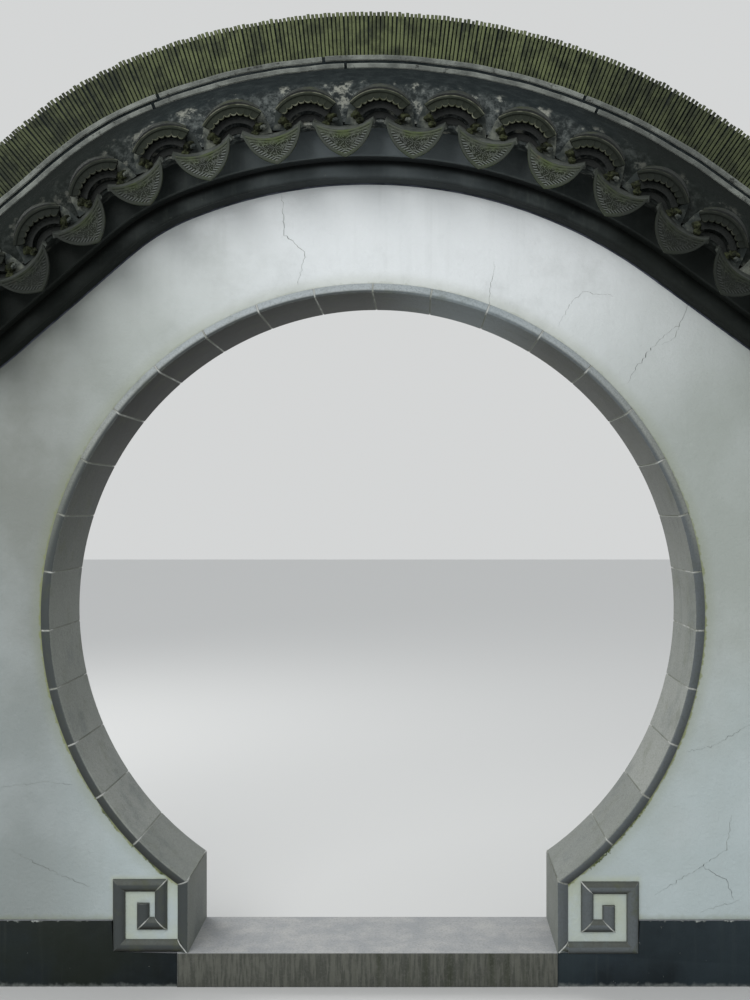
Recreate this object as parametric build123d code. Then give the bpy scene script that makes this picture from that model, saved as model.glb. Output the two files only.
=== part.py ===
from build123d import *
from math import asin, atan, atan2, cos, degrees, radians, sin, sqrt, tan
import os

# A garden moon gate: a round doorway, lined with grey stones, through a white plastered
# wall. The wall's top sweeps over the doorway and carries a tiled coping with a ridge of
# upright tiles. Millimetres, X along the wall, Z up, the front faces -Y. The origin is on
# the ground at mid-wall, below the doorway's centre.

# The wall
wall_thickness = 300
shoulder_height = 1700
split_beside_ring = 97

# The line of the wall's top, walked from left to right
crown_centre_x = -13
crown_over_ring = 327
crown_radius = 1547
crown_left_turn = 22
haunch_radius = 700
flank_left_slope = 40.8
flank_right_slope = 36.2
sweep_radius = 1500
level_end_length = 114.2

# The round doorway
opening_radius = 1050
ring_thickness = 33
ring_projection = 15
stones_each_side = 14
mortar_joint = 4

# The straight foot of the doorway, up to the corner where the ring starts
foot_half_width = 600
foot_height = 345.3
jamb_thickness = 36.5
threshold_height = 112
threshold_left_end = -636.5
threshold_right_end = 602

# The dark band at the wall's foot
plinth_height = 216
plinth_projection = 10

# The square scroll beside each jamb, the right-hand one wider and set lower
scroll_left_reach = 847
scroll_right_reach = 867
scroll_left_gap = 34
scroll_right_gap = 42
scroll_left_tongue_gap = 18
scroll_right_tongue_gap = 30
scroll_right_drop = 8
scroll_over_foot = 2.7
scroll_bar = 40
scroll_tongue_headroom = 37
scroll_rise = 72
scroll_edge = 5

# The cornice of two brick courses
lower_course_height = 61
lower_course_projection = 57
lower_course_edge = 10
upper_course_projection = 92

# The roof: pan tiles, drip tiles and cover tiles laid in rows across the wall
eave_reach = 350
roof_top_half_width = 110
row_pitch = 225.4
row_line_height = 150
first_row_shift = 42
tile_thickness = 12
tile_flats = 4
pan_width = 184
pan_dip = 27
pan_channel_height = 107
cover_width = 174
cover_rise = 39
cover_top_height = 230
cover_lip_length = 22
cover_lip_rise = 5
rib_width = 60
rib_setback = 55
rib_clearance = 6
drip_drop = 83
drip_bulge = 20
drip_side_flats = 3
drip_thickness = 14

# The ridge: a moulded base and upright tiles packed side by side
ridge_base_height = 388
ridge_base_clearance = 0.5
strip_height = 18
strip_groove = 11
strip_reach = 122
groove_reach = 108
top_strip_reach = 116
ridge_half_thickness = 84
ridge_tiles_height = 157
ridge_edge = 12

# Sizes worked out from the ones above
wall_face = wall_thickness / 2
ring_face = wall_face + ring_projection
opening_height = foot_height + sqrt(opening_radius ** 2 - foot_half_width ** 2)
ring_outer_radius = opening_radius + ring_thickness
wall_split = ring_outer_radius + split_beside_ring
crown_height = opening_height + ring_outer_radius + crown_over_ring
jamb_outer = foot_half_width + jamb_thickness
scroll_top = foot_height + scroll_over_foot
scroll_tongue_top = scroll_top - scroll_bar - scroll_tongue_headroom
roof_rise = ridge_base_height - ridge_base_clearance - cover_top_height
roof_run = eave_reach - roof_top_half_width
roof_slope = degrees(atan(roof_rise / roof_run))
pan_radius = ((pan_width / 2) ** 2 + pan_dip ** 2) / (2 * pan_dip)
cover_radius = ((cover_width / 2) ** 2 + cover_rise ** 2) / (2 * cover_rise)
cover_half_angle = asin(cover_width / 2 / cover_radius)
ridge_tiles_foot = ridge_base_height + 2 * strip_height + strip_groove


class Stretch:
    """One straight or round length of the wall-top line. turn is in degrees, to the left."""

    def __init__(self, start, heading, length=None, radius=None, turn=0.0):
        self.start = start
        self.heading = heading
        self.turn = turn
        self.radius = radius
        self.length = length if radius is None else abs(radians(turn)) * radius

    def direction(self, share):
        angle = radians(self.heading + share * self.turn)
        return cos(angle), sin(angle)

    def centre(self):
        along_x, along_z = self.direction(0)
        side = self.radius if self.turn > 0 else -self.radius
        return self.start[0] - side * along_z, self.start[1] + side * along_x

    def at(self, share, height):
        """The point a share of the way along, and height above the line."""
        along_x, along_z = self.direction(share)
        if self.radius is None:
            step = share * self.length
            x = self.start[0] + step * along_x - height * along_z
            z = self.start[1] + step * along_z + height * along_x
            return x, z
        centre_x, centre_z = self.centre()
        side = self.radius if self.turn > 0 else -self.radius
        return centre_x + (side - height) * along_z, centre_z - (side - height) * along_x

    def length_at(self, height):
        if self.radius is None:
            return self.length
        side = self.radius if self.turn > 0 else -self.radius
        return abs(radians(self.turn)) * abs(side - height)


def walk_wall_top():
    """The stretches of the wall-top line from the left end to the right end."""
    crown_centre_z = crown_height - crown_radius
    left_crown_x = crown_centre_x - crown_radius * sin(radians(crown_left_turn))
    left_crown_z = crown_centre_z + crown_radius * cos(radians(crown_left_turn))
    haunch_turn = flank_left_slope - crown_left_turn
    left_haunch_x = left_crown_x - haunch_radius * (
        sin(radians(flank_left_slope)) - sin(radians(crown_left_turn)))
    left_haunch_z = left_crown_z - haunch_radius * (
        cos(radians(crown_left_turn)) - cos(radians(flank_left_slope)))
    right_crown_x = crown_centre_x + crown_radius * sin(radians(flank_right_slope))
    right_crown_z = crown_centre_z + crown_radius * cos(radians(flank_right_slope))

    def flank(x, z, slope, side):
        """The flank's length, and where it runs out into the sweep below it."""
        sweep_drop = sweep_radius * (1 - cos(radians(slope)))
        drop = z - shoulder_height - sweep_drop
        run_out = x + side * drop / tan(radians(slope))
        return drop / sin(radians(slope)), run_out + side * sweep_radius * sin(radians(slope))

    left_length, left_shoulder_x = flank(left_haunch_x, left_haunch_z, flank_left_slope, -1)
    right_length, right_shoulder_x = flank(right_crown_x, right_crown_z, flank_right_slope, 1)
    half_length = right_shoulder_x + level_end_length
    lengths = (
        ("line", left_shoulder_x + half_length),
        ("arc", sweep_radius, flank_left_slope),
        ("line", left_length),
        ("arc", haunch_radius, -haunch_turn),
        ("arc", crown_radius, -(crown_left_turn + flank_right_slope)),
        ("line", right_length),
        ("arc", sweep_radius, flank_right_slope),
        ("line", level_end_length),
    )
    stretches = []
    place = (-half_length, shoulder_height)
    heading = 0
    for kind, size, *turn in lengths:
        if kind == "line":
            stretch = Stretch(place, heading, length=size)
        else:
            stretch = Stretch(place, heading, radius=size, turn=turn[0])
        stretches.append(stretch)
        place = stretch.at(1, 0)
        heading += stretch.turn
    return stretches


wall_top = walk_wall_top()
wall_half_length = wall_top[-1].at(1, 0)[0]
lengths_of_coping = {"left": wall_top[:4], "crown": wall_top[4:5], "right": wall_top[5:]}


def save(name, shape):
    shape.label = name
    export_step(shape, f"parts/{name}.step")


def plate(points, y_from, y_to):
    """A flat piece with the given outline in X and Z, between two depths."""
    outline = Polyline(*[(x, y_from, z) for x, z in points], close=True)
    return extrude(Face(Wire(outline.edges())), amount=y_to - y_from, dir=(0, 1, 0))


def run_along(stretches, section):
    """Carry a section, given as points of depth and height, along part of the wall top."""
    pieces = []
    for stretch in stretches:
        along_x, along_z = stretch.direction(0)
        corners = [(stretch.at(0, height)[0], depth, stretch.at(0, height)[1])
                   for depth, height in section]
        face = Face(Wire(Polyline(*corners, close=True).edges()))
        if stretch.radius is None:
            piece = extrude(face, amount=stretch.length, dir=(along_x, 0, along_z))
        else:
            centre_x, centre_z = stretch.centre()
            side = -1 if stretch.turn > 0 else 1
            turning = Axis((centre_x, 0, centre_z), (0, side, 0))
            piece = revolve(face, axis=turning, revolution_arc=abs(stretch.turn))
        pieces.append(piece)
    body = pieces[0]
    for piece in pieces[1:]:
        body = body.fuse(piece)
    return body.solids()[0] if len(body.solids()) == 1 else body


def both_sides(half_section):
    """Mirror half a section, listed from its foot upwards, to the other side of the wall."""
    return half_section + [(-depth, height) for depth, height in reversed(half_section)]


# The wall, split beside and over the doorway

def wall_outline():
    """The wall's face: level foot, upright ends and the swept top, with no doorway."""
    edges = []
    for stretch in wall_top:
        first, middle, last = [(x, -wall_face, z) for x, z in
                               (stretch.at(0, 0), stretch.at(0.5, 0), stretch.at(1, 0))]
        if stretch.radius is None:
            edges.append(Edge.make_line(first, last))
        else:
            edges.append(Edge.make_three_point_arc(first, middle, last))
    foot = Polyline(
        (wall_half_length, -wall_face, shoulder_height),
        (wall_half_length, -wall_face, 0),
        (-wall_half_length, -wall_face, 0),
        (-wall_half_length, -wall_face, shoulder_height))
    return Face(Wire(edges + foot.edges()))


def doorway():
    """What the lining, the jambs and the threshold fill, and the way through them."""
    depth = 2 * wall_thickness
    circle = Pos(0, 0, opening_height) * Rot(90, 0, 0) * Cylinder(ring_outer_radius, depth)
    foot_top = opening_height - sqrt(ring_outer_radius ** 2 - jamb_outer ** 2)
    foot = plate([(-jamb_outer, threshold_height), (jamb_outer, threshold_height),
                  (jamb_outer, foot_top), (0, opening_height), (-jamb_outer, foot_top)],
                 -wall_thickness, wall_thickness)
    sill = plate([(threshold_left_end, -1), (threshold_right_end, -1),
                  (threshold_right_end, threshold_height),
                  (threshold_left_end, threshold_height)],
                 -wall_thickness, wall_thickness)
    return circle + foot + sill


def build_walls():
    whole = extrude(wall_outline(), amount=wall_thickness, dir=(0, 1, 0)) - doorway()
    top = crown_height + 1
    split = wall_split
    reach = opening_height + split
    zones = {
        "wall_end_left": [(-wall_half_length, 0), (-split, 0), (-split, top),
                          (-wall_half_length, top)],
        "wall_lower_left": [(-split, 0), (0, 0), (0, opening_height),
                            (-split, opening_height)],
        "wall_upper_left": [(-split, opening_height), (0, opening_height), (-split, reach)],
        "wall_crown": [(0, opening_height), (split, reach), (split, top), (-split, top),
                       (-split, reach)],
        "wall_upper_right": [(0, opening_height), (split, opening_height), (split, reach)],
        "wall_lower_right": [(0, 0), (split, 0), (split, opening_height),
                             (0, opening_height)],
        "wall_end_right": [(split, 0), (wall_half_length, 0), (wall_half_length, top),
                           (split, top)],
    }
    for name, zone in zones.items():
        save(name, whole & plate(zone, -wall_face, wall_face))


# The dark band at the foot, stepped down under the scrolls

def build_plinths():
    sides = (("left", -1, threshold_left_end, scroll_left_reach, 0),
             ("right", 1, threshold_right_end, scroll_right_reach, scroll_right_drop))
    for side_name, side, inner_end, reach, drop in sides:
        front = plinth_plate(inner_end, 0, side * wall_half_length, plinth_height)
        front -= plinth_plate(0, threshold_height, side * jamb_outer, plinth_height)
        front -= plinth_plate(side * jamb_outer, threshold_height - drop,
                              side * reach, plinth_height)
        save(f"plinth_front_{side_name}", front)
        save(f"plinth_back_{side_name}", front.mirror(Plane.XZ))


def plinth_plate(x_start, z_low, x_end, z_high):
    return plate([(x_start, z_low), (x_end, z_low), (x_end, z_high), (x_start, z_high)],
                 -wall_face - plinth_projection, -wall_face)


# The doorway's lining

def build_threshold_and_jambs():
    save("threshold", plate(
        [(threshold_left_end, 0), (threshold_right_end, 0),
         (threshold_right_end, threshold_height), (threshold_left_end, threshold_height)],
        -ring_face, ring_face))
    inner_top = opening_height - sqrt(opening_radius ** 2 - foot_half_width ** 2)
    outer_top = opening_height - sqrt(ring_outer_radius ** 2 - jamb_outer ** 2)
    jamb = plate([(foot_half_width, threshold_height), (jamb_outer, threshold_height),
                  (jamb_outer, outer_top), (foot_half_width, inner_top)],
                 -ring_face, ring_face)
    save("jamb_right", jamb)
    save("jamb_left", jamb.mirror(Plane.YZ))


def build_ring_stones():
    """Curved stones from the joint at the top down to each jamb, seven to a quarter."""
    corner_angle = 90 + angle_below(ring_outer_radius, jamb_outer)
    stone_angle = corner_angle / stones_each_side
    joint_angle = mortar_joint / radians(1) / opening_radius
    cutter = plate(mitre_wedge(), -wall_thickness, wall_thickness)
    section_corners = [(radius, depth) for radius, depth in (
        (opening_radius, -ring_face), (ring_outer_radius, -ring_face),
        (ring_outer_radius, ring_face), (opening_radius, ring_face))]
    section = Face(Wire(Polyline(
        *[(0, depth, opening_height + radius) for radius, depth in section_corners],
        close=True).edges()))
    hub = Axis((0, 0, opening_height), (0, 1, 0))
    stone = revolve(section, axis=hub, revolution_arc=stone_angle - joint_angle)
    stones = []
    for number in range(stones_each_side):
        turned = stone.rotate(hub, number * stone_angle + joint_angle / 2)
        if number == stones_each_side - 1:
            turned = turned - cutter
        stones.append(turned)
    half = stones_each_side // 2
    quarters = {"upper": stones[:half], "lower": stones[half:]}
    for height_name, quarter in quarters.items():
        right = Compound(children=[stone.solids()[0] for stone in quarter])
        left = Compound(children=[stone.mirror(Plane.YZ).solids()[0] for stone in quarter])
        save(f"ring_stones_{height_name}_right", right)
        save(f"ring_stones_{height_name}_left", left)


def angle_below(radius, half_width):
    """How far below the level the ring reaches the foot's half-width, in degrees."""
    height = sqrt(radius ** 2 - half_width ** 2)
    return Vector(half_width, height, 0).get_angle(Vector(1, 0, 0))


def mitre_wedge():
    """The room below the slanting joint between the lowest stone and the jamb."""
    inner_top = opening_height - sqrt(opening_radius ** 2 - foot_half_width ** 2)
    outer_top = opening_height - sqrt(ring_outer_radius ** 2 - jamb_outer ** 2)
    fall = (inner_top - outer_top) / jamb_thickness
    inner, outer = foot_half_width - jamb_thickness, jamb_outer + jamb_thickness
    line_in = inner_top + fall * jamb_thickness + mortar_joint
    line_out = outer_top - fall * jamb_thickness + mortar_joint
    return [(inner, 0), (outer, 0), (outer, line_out), (inner, line_in)]


# The square scroll that winds out from the foot of each jamb

def build_scrolls():
    left = square_scroll(scroll_left_reach, scroll_left_gap, scroll_left_tongue_gap)
    right = square_scroll(scroll_right_reach, scroll_right_gap, scroll_right_tongue_gap)
    fronts = {"left": left.mirror(Plane.YZ), "right": Pos(0, 0, -scroll_right_drop) * right}
    for side_name, front in fronts.items():
        save(f"scroll_front_{side_name}", front)
        save(f"scroll_back_{side_name}", front.mirror(Plane.XZ))


def square_scroll(reach, gap, tongue_gap):
    """The scroll on the front, to the right of the doorway."""
    inner = jamb_outer + gap
    tongue = inner + scroll_bar + tongue_gap
    rise = threshold_height + scroll_rise
    bars = (
        (jamb_outer, threshold_height, reach, threshold_height + scroll_bar),
        (reach - scroll_bar, threshold_height, reach, scroll_top),
        (inner, scroll_top - scroll_bar, reach, scroll_top),
        (inner, rise, inner + scroll_bar, scroll_top),
        (inner, rise, tongue + scroll_bar, rise + scroll_bar),
        (tongue, rise, tongue + scroll_bar, scroll_tongue_top),
    )
    scroll = Part()
    for x_low, z_low, x_high, z_high in bars:
        scroll += plate([(x_low, z_low), (x_high, z_low), (x_high, z_high), (x_low, z_high)],
                        -ring_face, -wall_face)
    front_edges = scroll.faces().sort_by(Axis.Y)[0].edges()
    front_edges = front_edges.filter_by(lambda edge: edge.center().X > jamb_outer + 1)
    return chamfer(front_edges, scroll_edge).solids()[0]


# The cornice, the roof's bed and the ridge, carried along the wall's top

def build_courses():
    lower_face = wall_face + lower_course_projection
    upper_face = wall_face + upper_course_projection
    bed_edge = pan_bed_height(upper_face)
    bed_top = pan_bed_height(roof_top_half_width)
    first_strip = ridge_base_height + strip_height
    second_strip = first_strip + strip_groove
    sections = {
        "cornice_lower": [(lower_face - lower_course_edge, 0), (lower_face, lower_course_edge),
                          (lower_face, lower_course_height)],
        "cornice_upper": [(upper_face, lower_course_height), (upper_face, bed_edge)],
        "roof_bed": [(upper_face, bed_edge), (roof_top_half_width, bed_top),
                     (roof_top_half_width, ridge_base_height)],
        "ridge_base": [(strip_reach, ridge_base_height), (strip_reach, first_strip),
                       (groove_reach, first_strip), (groove_reach, second_strip),
                       (top_strip_reach, second_strip), (top_strip_reach, ridge_tiles_foot)],
        "ridge_tiles": [
            (ridge_half_thickness, ridge_tiles_foot),
            (ridge_half_thickness, ridge_tiles_foot + ridge_tiles_height - ridge_edge),
            (ridge_half_thickness - ridge_edge, ridge_tiles_foot + ridge_tiles_height)],
    }
    for course, half_section in sections.items():
        for place, stretches in lengths_of_coping.items():
            save(f"{course}_{place}", run_along(stretches, both_sides(half_section)))


def pan_bed_height(depth):
    """How high the pans' undersides lie above the wall-top line, at a depth."""
    return pan_channel_height - tile_thickness + (eave_reach - depth) * roof_rise / roof_run


# The tile rows, each laid square across the wall

def bend(radius, half_angle, centre_height):
    """Points of a tile's face from left to right, bent in flats about a level line."""
    points = []
    for step in range(tile_flats + 1):
        angle = half_angle * (2 * step / tile_flats - 1)
        points.append((radius * sin(angle), centre_height + radius * cos(angle)))
    return points


def pan_face(thickness):
    """The pans' upper face, or the face a thickness below it."""
    half_angle = asin(pan_width / 2 / pan_radius)
    return bend(-pan_radius - thickness, -half_angle, pan_channel_height + pan_radius)


def cover_face(thickness):
    """The covers' upper face, or the face a thickness below it."""
    centre_height = cover_top_height - cover_radius
    return bend(cover_radius - thickness, cover_half_angle, centre_height)


def up_the_slope(points, depth_run):
    """Draw a tile's end, given as points of X and height, up the roof slope."""
    outline = Polyline(*[(x, -eave_reach, z) for x, z in points], close=True)
    direction = (0, cos(radians(roof_slope)), sin(radians(roof_slope)))
    return extrude(Face(Wire(outline.edges())), amount=depth_run / cos(radians(roof_slope)),
                   dir=direction)


def pan_tile_row():
    return up_the_slope(pan_face(0) + pan_face(tile_thickness)[::-1], roof_run)


def cover_tile_row():
    underside = cover_face(tile_thickness)[::-1]
    row = up_the_slope(cover_face(0) + underside, roof_run)
    return row + up_the_slope(cover_face(-cover_lip_rise) + underside, cover_lip_length)


def cover_rib():
    """The mortar that carries a row of covers between two rows of pans."""
    half = rib_width / 2
    flat_slope = cover_half_angle / tile_flats
    top = cover_top_height - tile_thickness - half * tan(flat_slope)
    foot = pan_channel_height + pan_dip + rib_clearance
    long_rib = up_the_slope([(-half, foot), (half, foot), (half, top), (-half, top)], roof_run)
    rib_run = roof_run - rib_setback
    room = Pos(0, -roof_top_half_width - rib_run / 2, ridge_base_height / 2) * Box(
        cover_width, rib_run, 2 * ridge_base_height)
    return long_rib & room


def drip_tile():
    """A leaf-shaped plate that hangs below the end of a row of pans, with bowed sides."""
    fall = pan_dip + drip_drop
    tip = pan_channel_height - drip_drop
    half = pan_width / 2
    chord = sqrt(half ** 2 + fall ** 2)
    right_side = []
    for step in range(1, drip_side_flats):
        share = step / drip_side_flats
        bow = 4 * share * (1 - share) * drip_bulge
        right_side.append((share * half + bow * fall / chord,
                           tip + share * fall - bow * half / chord))
    left_side = [(-x, z) for x, z in reversed(right_side)]
    outline = left_side + [(0, tip)] + right_side + pan_face(0)[::-1]
    return plate(outline, -eave_reach - drip_thickness, -eave_reach)


def row_places(shift):
    """Where rows stand: the wall-top point and the slope there, at an even pitch along the
    row line. shift is the first row's distance from the crown, in pitches."""
    line_lengths = [stretch.length_at(row_line_height) for stretch in wall_top]
    crown_share = crown_left_turn / (crown_left_turn + flank_right_slope)
    crown_at = sum(line_lengths[:4]) + crown_share * line_lengths[4]
    whole = sum(line_lengths)
    start = crown_at + first_row_shift + shift * row_pitch
    start -= int(start / row_pitch + 1) * row_pitch
    places = []
    distance = start
    while distance < whole + row_pitch:
        places.append(place_on_row_line(distance, line_lengths))
        distance += row_pitch
    return places


def place_on_row_line(distance, line_lengths):
    left_over = distance
    for stretch, length in zip(wall_top, line_lengths):
        if left_over <= length or stretch is wall_top[-1]:
            share = left_over / length
            along_x, along_z = stretch.direction(min(max(share, 0), 1))
            x, z = stretch.at(share, 0)
            return x, z, degrees(atan2(along_z, along_x))
        left_over -= length


def lay_rows(piece, shift):
    """Copies of a piece at every row whose middle is on the wall, cut flush at its ends."""
    room = Pos(0, 0, crown_height) * Box(2 * wall_half_length, 4 * eave_reach,
                                         4 * crown_height)
    half_tile = pan_width / 2
    laid = []
    for x, z, slope in row_places(shift):
        copy = Location((x, 0, z), (0, -slope, 0)) * piece
        if abs(x) > wall_half_length:
            continue
        if abs(x) > wall_half_length - half_tile - 2 * cover_lip_rise:
            copy = copy & room
        laid.extend(copy.solids())
    return laid


def build_tiles():
    rows = {"pan_tiles": (pan_tile_row(), 0.5), "drip_tiles": (drip_tile(), 0.5),
            "cover_tiles": (cover_tile_row(), 0), "cover_bedding": (cover_rib(), 0)}
    for name, (piece, shift) in rows.items():
        front = lay_rows(piece, shift)
        save(f"{name}_front", Compound(children=front))
        save(f"{name}_back", Compound(children=[tile.mirror(Plane.XZ) for tile in front]))


os.makedirs("parts", exist_ok=True)
build_walls()
build_plinths()
build_threshold_and_jambs()
build_ring_stones()
build_scrolls()
build_courses()
build_tiles()
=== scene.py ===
from math import atan, ceil, cos, hypot, pi, radians, sin, sqrt, tan
from random import Random

import bmesh
import bpy
from mathutils import Matrix, Vector, noise


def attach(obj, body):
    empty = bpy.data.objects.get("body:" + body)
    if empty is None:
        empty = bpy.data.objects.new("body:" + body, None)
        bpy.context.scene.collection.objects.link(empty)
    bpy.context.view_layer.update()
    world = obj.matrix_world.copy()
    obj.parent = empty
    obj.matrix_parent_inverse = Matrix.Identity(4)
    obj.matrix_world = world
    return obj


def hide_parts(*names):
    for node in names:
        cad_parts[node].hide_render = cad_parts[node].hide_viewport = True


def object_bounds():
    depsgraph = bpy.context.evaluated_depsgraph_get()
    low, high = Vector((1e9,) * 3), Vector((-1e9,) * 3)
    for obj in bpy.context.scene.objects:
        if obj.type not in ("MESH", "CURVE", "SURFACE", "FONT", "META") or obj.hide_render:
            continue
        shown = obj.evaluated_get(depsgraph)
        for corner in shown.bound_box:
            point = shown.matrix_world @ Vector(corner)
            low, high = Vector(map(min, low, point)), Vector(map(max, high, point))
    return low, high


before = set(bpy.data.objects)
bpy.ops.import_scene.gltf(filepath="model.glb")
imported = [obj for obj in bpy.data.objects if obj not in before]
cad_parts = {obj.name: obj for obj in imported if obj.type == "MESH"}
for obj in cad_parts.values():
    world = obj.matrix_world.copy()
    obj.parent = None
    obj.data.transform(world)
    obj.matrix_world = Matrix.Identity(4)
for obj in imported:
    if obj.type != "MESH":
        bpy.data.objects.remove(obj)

cad_low, cad_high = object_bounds()


# The plastered wall
# Brickwork under lime plaster with a limewash. The wash is whitest below the coping and goes
# green-grey lower down and towards the sides: partly damp and weathering, partly painted shade
# of overhanging trees, darkest at the left end. It is trowelled, so it is flat but never even.

wall_face = 0.150

wash_colour = (0.69, 0.72, 0.73, 1)
weathered_and_shaded_colour = (0.325, 0.355, 0.330, 1)
damp_colour = (0.400, 0.460, 0.465, 1)
shaded_end_colour = (0.120, 0.124, 0.110, 1)
fresh_wash_colour = (0.62, 0.66, 0.68, 1)
plinth_colour = (0.006, 0.009, 0.011, 1)
scroll_field_colour = (0.42, 0.45, 0.28, 1)
stain_colour = (0.25, 0.27, 0.25, 1)
moss_stain_colour = (0.20, 0.22, 0.10, 1)
foot_moss_colour = (0.045, 0.060, 0.016, 1)
shade_side_lean = 0.17


def add_node(tree, kind, inputs=None, **settings):
    """Add a node. inputs holds sockets to link or plain values, by socket name or number."""
    node = tree.nodes.new(kind)
    for setting, value in settings.items():
        setattr(node, setting, value)
    for place, value in (inputs or {}).items():
        if isinstance(value, bpy.types.NodeSocket):
            tree.links.new(value, node.inputs[place])
        else:
            node.inputs[place].default_value = value
    return node


def link_node(kind, inputs, **settings):
    """Add a node to the tree that its linked inputs belong to."""
    linked = [value for value in inputs.values() if isinstance(value, bpy.types.NodeSocket)]
    return add_node(linked[0].id_data, kind, inputs, **settings)


def add_step(kind, inputs, **settings):
    return link_node(kind, inputs, **settings).outputs[0]


def calculate(operation, first, second=0.0, third=0.0):
    return add_step("ShaderNodeMath", {0: first, 1: second, 2: third}, operation=operation)


def scaled(value, factor, start):
    """The value times a factor, on top of a start."""
    return calculate("MULTIPLY_ADD", value, factor, start)


def times(product, *factors):
    for factor in factors:
        product = calculate("MULTIPLY", product, factor)
    return product


def plus(first, second):
    return calculate("ADD", first, second)


def minus(first, second):
    return calculate("SUBTRACT", first, second)


def larger(first, second):
    return calculate("MAXIMUM", first, second)


def unsigned(value):
    return calculate("ABSOLUTE", value)


def parts(direction):
    """The X, Y and Z of a place or a direction."""
    return link_node("ShaderNodeSeparateXYZ", {0: direction}).outputs


def surface_facing(where):
    """The X, Y and Z of the direction that the surface faces, in the tree of this socket."""
    return parts(add_node(where.id_data, "ShaderNodeNewGeometry").outputs["Normal"])


def stored(where, name, output="Fac"):
    """What the mesh carries under this name, in the tree of this socket."""
    return add_node(where.id_data, "ShaderNodeAttribute", attribute_name=name).outputs[output]


def clouds(where, scale, detail=4.0, roughness=0.55, stretch=None):
    """Soft noise from 0 to 1, drawn out along the axes by stretch where it is given."""
    if stretch:
        where = add_step("ShaderNodeMapping", {"Vector": where, "Scale": stretch})
    inputs = {"Vector": where, "Scale": scale, "Detail": detail, "Roughness": roughness}
    return add_step("ShaderNodeTexNoise", inputs)


def ramp(value, low, high):
    """A mask that rises smoothly from 0 at low to 1 at high."""
    inputs = {"Value": value, "From Min": low, "From Max": high}
    return add_step("ShaderNodeMapRange", inputs, interpolation_type="SMOOTHSTEP")


def between(mask, low, high):
    """A value that goes from low to high as the mask goes from 0 to 1."""
    return add_step("ShaderNodeMapRange", {"Value": mask, "To Min": low, "To Max": high})


def mix_colours(mask, first, second):
    return link_node("ShaderNodeMix", {0: mask, 6: first, 7: second}, data_type="RGBA").outputs[2]


def roughen(height, distance, normal=None):
    """A bump, distance deep in metres, from a height between 0 and 1."""
    inputs = {"Height": height, "Distance": distance, "Strength": 1.0}
    if normal:
        inputs["Normal"] = normal
    return add_step("ShaderNodeBump", inputs)


def new_material(name, shine=0.3):
    """A material with a Principled shader, and the object's own coordinates to draw on."""
    material = bpy.data.materials.new(name)
    material.use_nodes = True
    tree = material.node_tree
    shader = tree.nodes["Principled BSDF"]
    shader.inputs["Specular IOR Level"].default_value = shine
    return material, shader, add_node(tree, "ShaderNodeTexCoord").outputs["Object"]


def paint(shader, colour, roughness, normal):
    for place, socket in (("Base Color", colour), ("Roughness", roughness), ("Normal", normal)):
        shader.id_data.links.new(socket, shader.inputs[place])


def dress(name, material):
    """Give a piece of the frame its finish."""
    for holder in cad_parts[name].material_slots:
        holder.material = material


def new_shader_group(name, inputs, outputs):
    """An effect that several materials share, with its sockets named."""
    tree = bpy.data.node_groups.new(name, "ShaderNodeTree")
    for socket_name, kind in inputs.items():
        tree.interface.new_socket(socket_name, in_out="INPUT", socket_type=kind)
    for socket_name, kind in outputs.items():
        tree.interface.new_socket(socket_name, in_out="OUTPUT", socket_type=kind)
    return tree, tree.nodes.new("NodeGroupInput").outputs, tree.nodes.new("NodeGroupOutput").inputs


def use_group(group, inputs):
    return link_node("ShaderNodeGroup", inputs, node_tree=group).outputs


vector, number, colour = "NodeSocketVector", "NodeSocketFloat", "NodeSocketColor"

# Rain streaks: long stains that run down a face from where water drips on it
rain_streaks, given, result = new_shader_group(
    "rain streaks", {"Position": vector, "Width": number, "Amount": number}, {"Mask": number})
tree = rain_streaks
narrow = calculate("DIVIDE", 1.0, given["Width"])
column = clouds(given["Position"], narrow, 3.0, 0.6, stretch=(1, 1, 0.05))
broken = clouds(given["Position"], 2.3, 5.0, 0.6)
run = times(ramp(column, 0.5, 0.72), ramp(broken, 0.38, 0.62))
tree.links.new(times(run, given["Amount"]), result["Mask"])


def streaked(where, width, amount):
    inputs = {"Position": where, "Width": width, "Amount": amount}
    return use_group(rain_streaks, inputs)["Mask"]


opening_radius = 1.050
ring_thickness = 0.033
foot_half_width = 0.600
foot_height = 0.3453
hub_height = foot_height + sqrt(opening_radius ** 2 - foot_half_width ** 2)
ring_outer_radius = opening_radius + ring_thickness
plinth_height = 0.216
wall_half_length = cad_high[0]
scroll_left_reach = 0.847
scroll_right_reach = 0.867
scroll_top = foot_height + 0.0027

lime_plaster, shader, where = new_material("lime plaster", shine=0.2)
across, _, up = parts(where)
patches = clouds(where, 1.1, 5.0, 0.6)
mottle = clouds(where, 6.0, 6.0, 0.65)
height = plus(up, times(patches, 0.9))
# Partly weathering and damp, partly painted shade: darker lower down, away from the middle and more to the
# left, for the trees that shade the wall.
sideways = unsigned(across)
height = minus(height, times(sideways, 0.74))
height = scaled(across, shade_side_lean, height)
skin = mix_colours(ramp(height, 2.75, 1.55), wash_colour, weathered_and_shaded_colour)
height = plus(height, times(mottle, 0.5))
skin = mix_colours(ramp(height, 1.30, 0.35), skin, damp_colour)
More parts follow.
